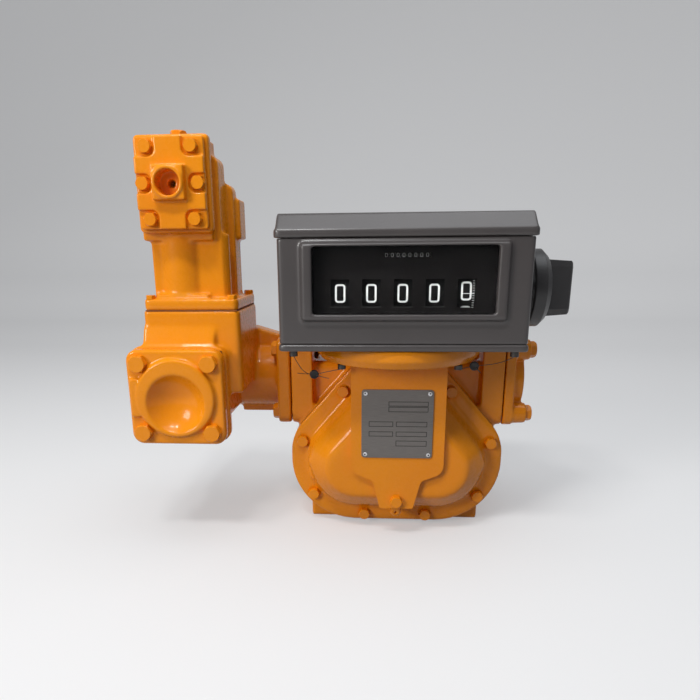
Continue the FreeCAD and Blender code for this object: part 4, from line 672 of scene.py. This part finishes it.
def make_dial_lines():
    """A rule under each of the four left numerals and the reading line over the right-hand one."""
    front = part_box("dial_plate")[0][1] / MM - PRINT_DEPTH
    rules = bmesh.new()
    for k in range(4):
        x = (k - 2) * WHEEL_PITCH
        printed_frame(rules, x - RULE_HALF, x + RULE_HALF, RULE_LOW, RULE_HIGH, 0, front)
    piece("dial_rules", rules, RULE_GREY)
    line = bmesh.new()
    printed_frame(line, READING_LEFT, READING_RIGHT, READING_LOW, READING_HIGH, 0, front)
    piece("reading_line", line, NUMERAL_WHITE)


make_dial_lines()


RIVET_INSET, SHADE_DISC_RADIUS, SHADE_DISC_LIFT = 2 * MM, 0.95 * MM, 0.03 * MM


def make_rivet_hollows():
    """A dark disc on each blind rivet's head: painted shade in place of its hollow."""
    low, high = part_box("nameplate_rivets")
    shape = bmesh.new()
    for x in (low[0] + RIVET_INSET, high[0] - RIVET_INSET):
        for z in (low[2] + RIVET_INSET, high[2] - RIVET_INSET):
            verts = bmesh.ops.create_circle(shape, cap_ends=True, segments=20, radius=SHADE_DISC_RADIUS)["verts"]
            bmesh.ops.rotate(shape, verts=verts, matrix=UPRIGHT)
            bmesh.ops.translate(shape, verts=verts, vec=Vector((x, low[1] - SHADE_DISC_LIFT, z)))
    # Painted shade: a dark disc just in front of each rivet head, where its hollow would be.
    piece("rivet_hollow_painted_shade", shape, INK_AND_HOLLOW_SHADE)


make_rivet_hollows()


LUG_X, LUG_Y, LUG_Z = 104, -70.5, 72
LUG_RADIUS, LUG_TIP_RADIUS, LUG_LENGTH, LUG_ROUND = 6.5 * MM, 5.6 * MM, 12 * MM, 2.6 * MM
LUG_TALLER = 1.9


def make_cover_lugs():
    """Two small upright pads at the foot of the front cover's dome."""
    shape = bmesh.new()
    for x in (-LUG_X, LUG_X):
        verts = bmesh.ops.create_cone(shape, segments=32, cap_ends=True, radius1=LUG_RADIUS,
                                      radius2=LUG_TIP_RADIUS, depth=LUG_LENGTH)["verts"]
        bmesh.ops.rotate(shape, verts=verts, matrix=UPRIGHT)
        bmesh.ops.scale(shape, verts=verts, vec=(1, 1, LUG_TALLER))
        bmesh.ops.translate(shape, verts=verts, vec=Vector((x, LUG_Y, LUG_Z)) * MM)
    caps = [face for face in shape.faces if len(face.verts) > 8 and face.calc_center_median().y < -0.07]
    rims = [edge for face in caps for edge in face.edges]
    bmesh.ops.bevel(shape, geom=rims, offset=LUG_ROUND, segments=4, profile=0.5, affect="EDGES", material=-1)
    piece("cover_lugs", shape, FINISHES["orange_casting"], smooth=True)


make_cover_lugs()


# Room: a pale sweep under and behind the meter, a key light from the left and soft light from above.
# Colour of the painted glow on the sweep.
PAINTED_GLOW_COLOUR = (0.97, 0.98, 1.0, 1)
# Painted light: the sweep's glow to the camera grows along this direction, to the right, forwards and down.
PAINTED_GLOW_DIRECTION = (0.22, -0.05, -0.28)
LEAST_PAINTED_GLOW, MOST_PAINTED_GLOW = 0.27, 0.36
# Paper's paleness to light that falls on the meter, and to the camera.
PAPER_IN_LIGHT, PAPER_IN_VIEW = 0.30, 0.52


def sweep_finish():
    """Pale paper with a painted glow to the camera, lighter towards the lower right; it throws less light back
    on the meter than it shows.
    """
    material, tree, shader, end = new_material("pale_paper_painted_glow")
    shader.inputs["Roughness"].default_value = 0.9
    shader.inputs["Specular IOR Level"].default_value = 0.1
    shader.inputs["Emission Color"].default_value = PAINTED_GLOW_COLOUR
    path = tree.nodes.new("ShaderNodeLightPath")
    seen = path.outputs["Is Camera Ray"]
    for label in ("Is Glossy Ray", "Is Transmission Ray"):
        either = tree.nodes.new("ShaderNodeMath")
        either.operation = "MAXIMUM"
        link_nodes(tree, seen, either.inputs[0])
        link_nodes(tree, path.outputs[label], either.inputs[1])
        seen = either.outputs["Value"]
    slope = tree.nodes.new("ShaderNodeVectorMath")
    slope.operation = "DOT_PRODUCT"
    link_nodes(tree, tree.nodes.new("ShaderNodeTexCoord").outputs["Object"], slope.inputs[0])
    slope.inputs[1].default_value = PAINTED_GLOW_DIRECTION
    # Painted light: a glow by place on the sweep, seen only by camera, glossy and transmission rays.
    painted_glow = tree.nodes.new("ShaderNodeMath")
    painted_glow.operation = "MULTIPLY"
    link_nodes(tree, seen, painted_glow.inputs[0])
    link_nodes(tree, spread(tree, slope.outputs["Value"], -0.75, 0.1, LEAST_PAINTED_GLOW, MOST_PAINTED_GLOW), painted_glow.inputs[1])
    link_nodes(tree, painted_glow.outputs["Value"], shader.inputs["Emission Strength"])
    link_nodes(tree, spread(tree, seen, 0.0, 1.0, PAPER_IN_LIGHT, PAPER_IN_VIEW), shader.inputs["Base Color"])
    link_nodes(tree, shader.outputs["BSDF"], end.inputs["Surface"])
    return material


def make_room():
    """The sweep: a floor that curves up into a wall. The profile's points are Y and Z."""
    shape = bmesh.new()
    profile = [(-3.0, 0.0), (1.4, 0.0), (1.9, 0.07), (2.3, 0.3), (2.55, 0.75), (2.65, 1.4), (2.65, 4.0)]
    verts = [shape.verts.new((-5, y, z)) for y, z in profile]
    edges = [shape.edges.new(pair) for pair in zip(verts, verts[1:])]
    made = bmesh.ops.extrude_edge_only(shape, edges=edges)
    moved = [item for item in made["geom"] if isinstance(item, bmesh.types.BMVert)]
    bmesh.ops.translate(shape, verts=moved, vec=(10, 0, 0))
    bmesh.ops.subdivide_edges(shape, edges=shape.edges[:], cuts=3, use_grid_fill=True)
    mesh = bpy.data.meshes.new("room")
    bmesh.ops.recalc_face_normals(shape, faces=shape.faces)
    shape.to_mesh(mesh)
    shape.free()
    mesh.shade_smooth()
    floor = bpy.data.objects.new("room", mesh)
    scene.collection.objects.link(floor)
    floor.data.materials.append(sweep_finish())


def lamp(name, spot, target, size, height, power, colour):
    data = bpy.data.lights.new(name, "AREA")
    data.shape = "RECTANGLE"
    data.size, data.size_y = size, height
    data.energy = power
    data.color = colour
    item = bpy.data.objects.new(name, data)
    scene.collection.objects.link(item)
    item.location = spot
    item.rotation_euler = (Vector(target) - Vector(spot)).to_track_quat("-Z", "Y").to_euler()


make_room()
MIDDLE = (-0.05, -0.05, 0.2)
WORLD_COLOUR, WORLD_STRENGTH = (0.93, 0.95, 1.0, 1), 0.20
lamp("key", (-1.6, -1.5, 0.95), (-0.02, -0.08, 0.18), 0.7, 0.7, 25.0, (1.0, 0.985, 0.96))
lamp("overhead", (0.1, -0.25, 1.75), (0.0, -0.1, 0.2), 1.7, 1.1, 12.0, (0.93, 0.965, 1.0))
lamp("fill", (1.7, -1.2, 0.9), MIDDLE, 1.3, 1.0, 0.8, (0.96, 0.98, 1.0))
lamp("left_pane", (-0.62, -0.85, 1.55), MIDDLE, 0.24, 0.14, 5.0, (1, 1, 1))
lamp("right_pane", (-0.28, -0.85, 1.55), MIDDLE, 0.24, 0.14, 5.0, (1, 1, 1))
world = bpy.data.worlds.new("soft_room")
world.use_nodes = True
world.node_tree.nodes["Background"].inputs["Color"].default_value = WORLD_COLOUR
world.node_tree.nodes["Background"].inputs["Strength"].default_value = WORLD_STRENGTH
scene.world = world
scene.view_settings.view_transform = "Standard"
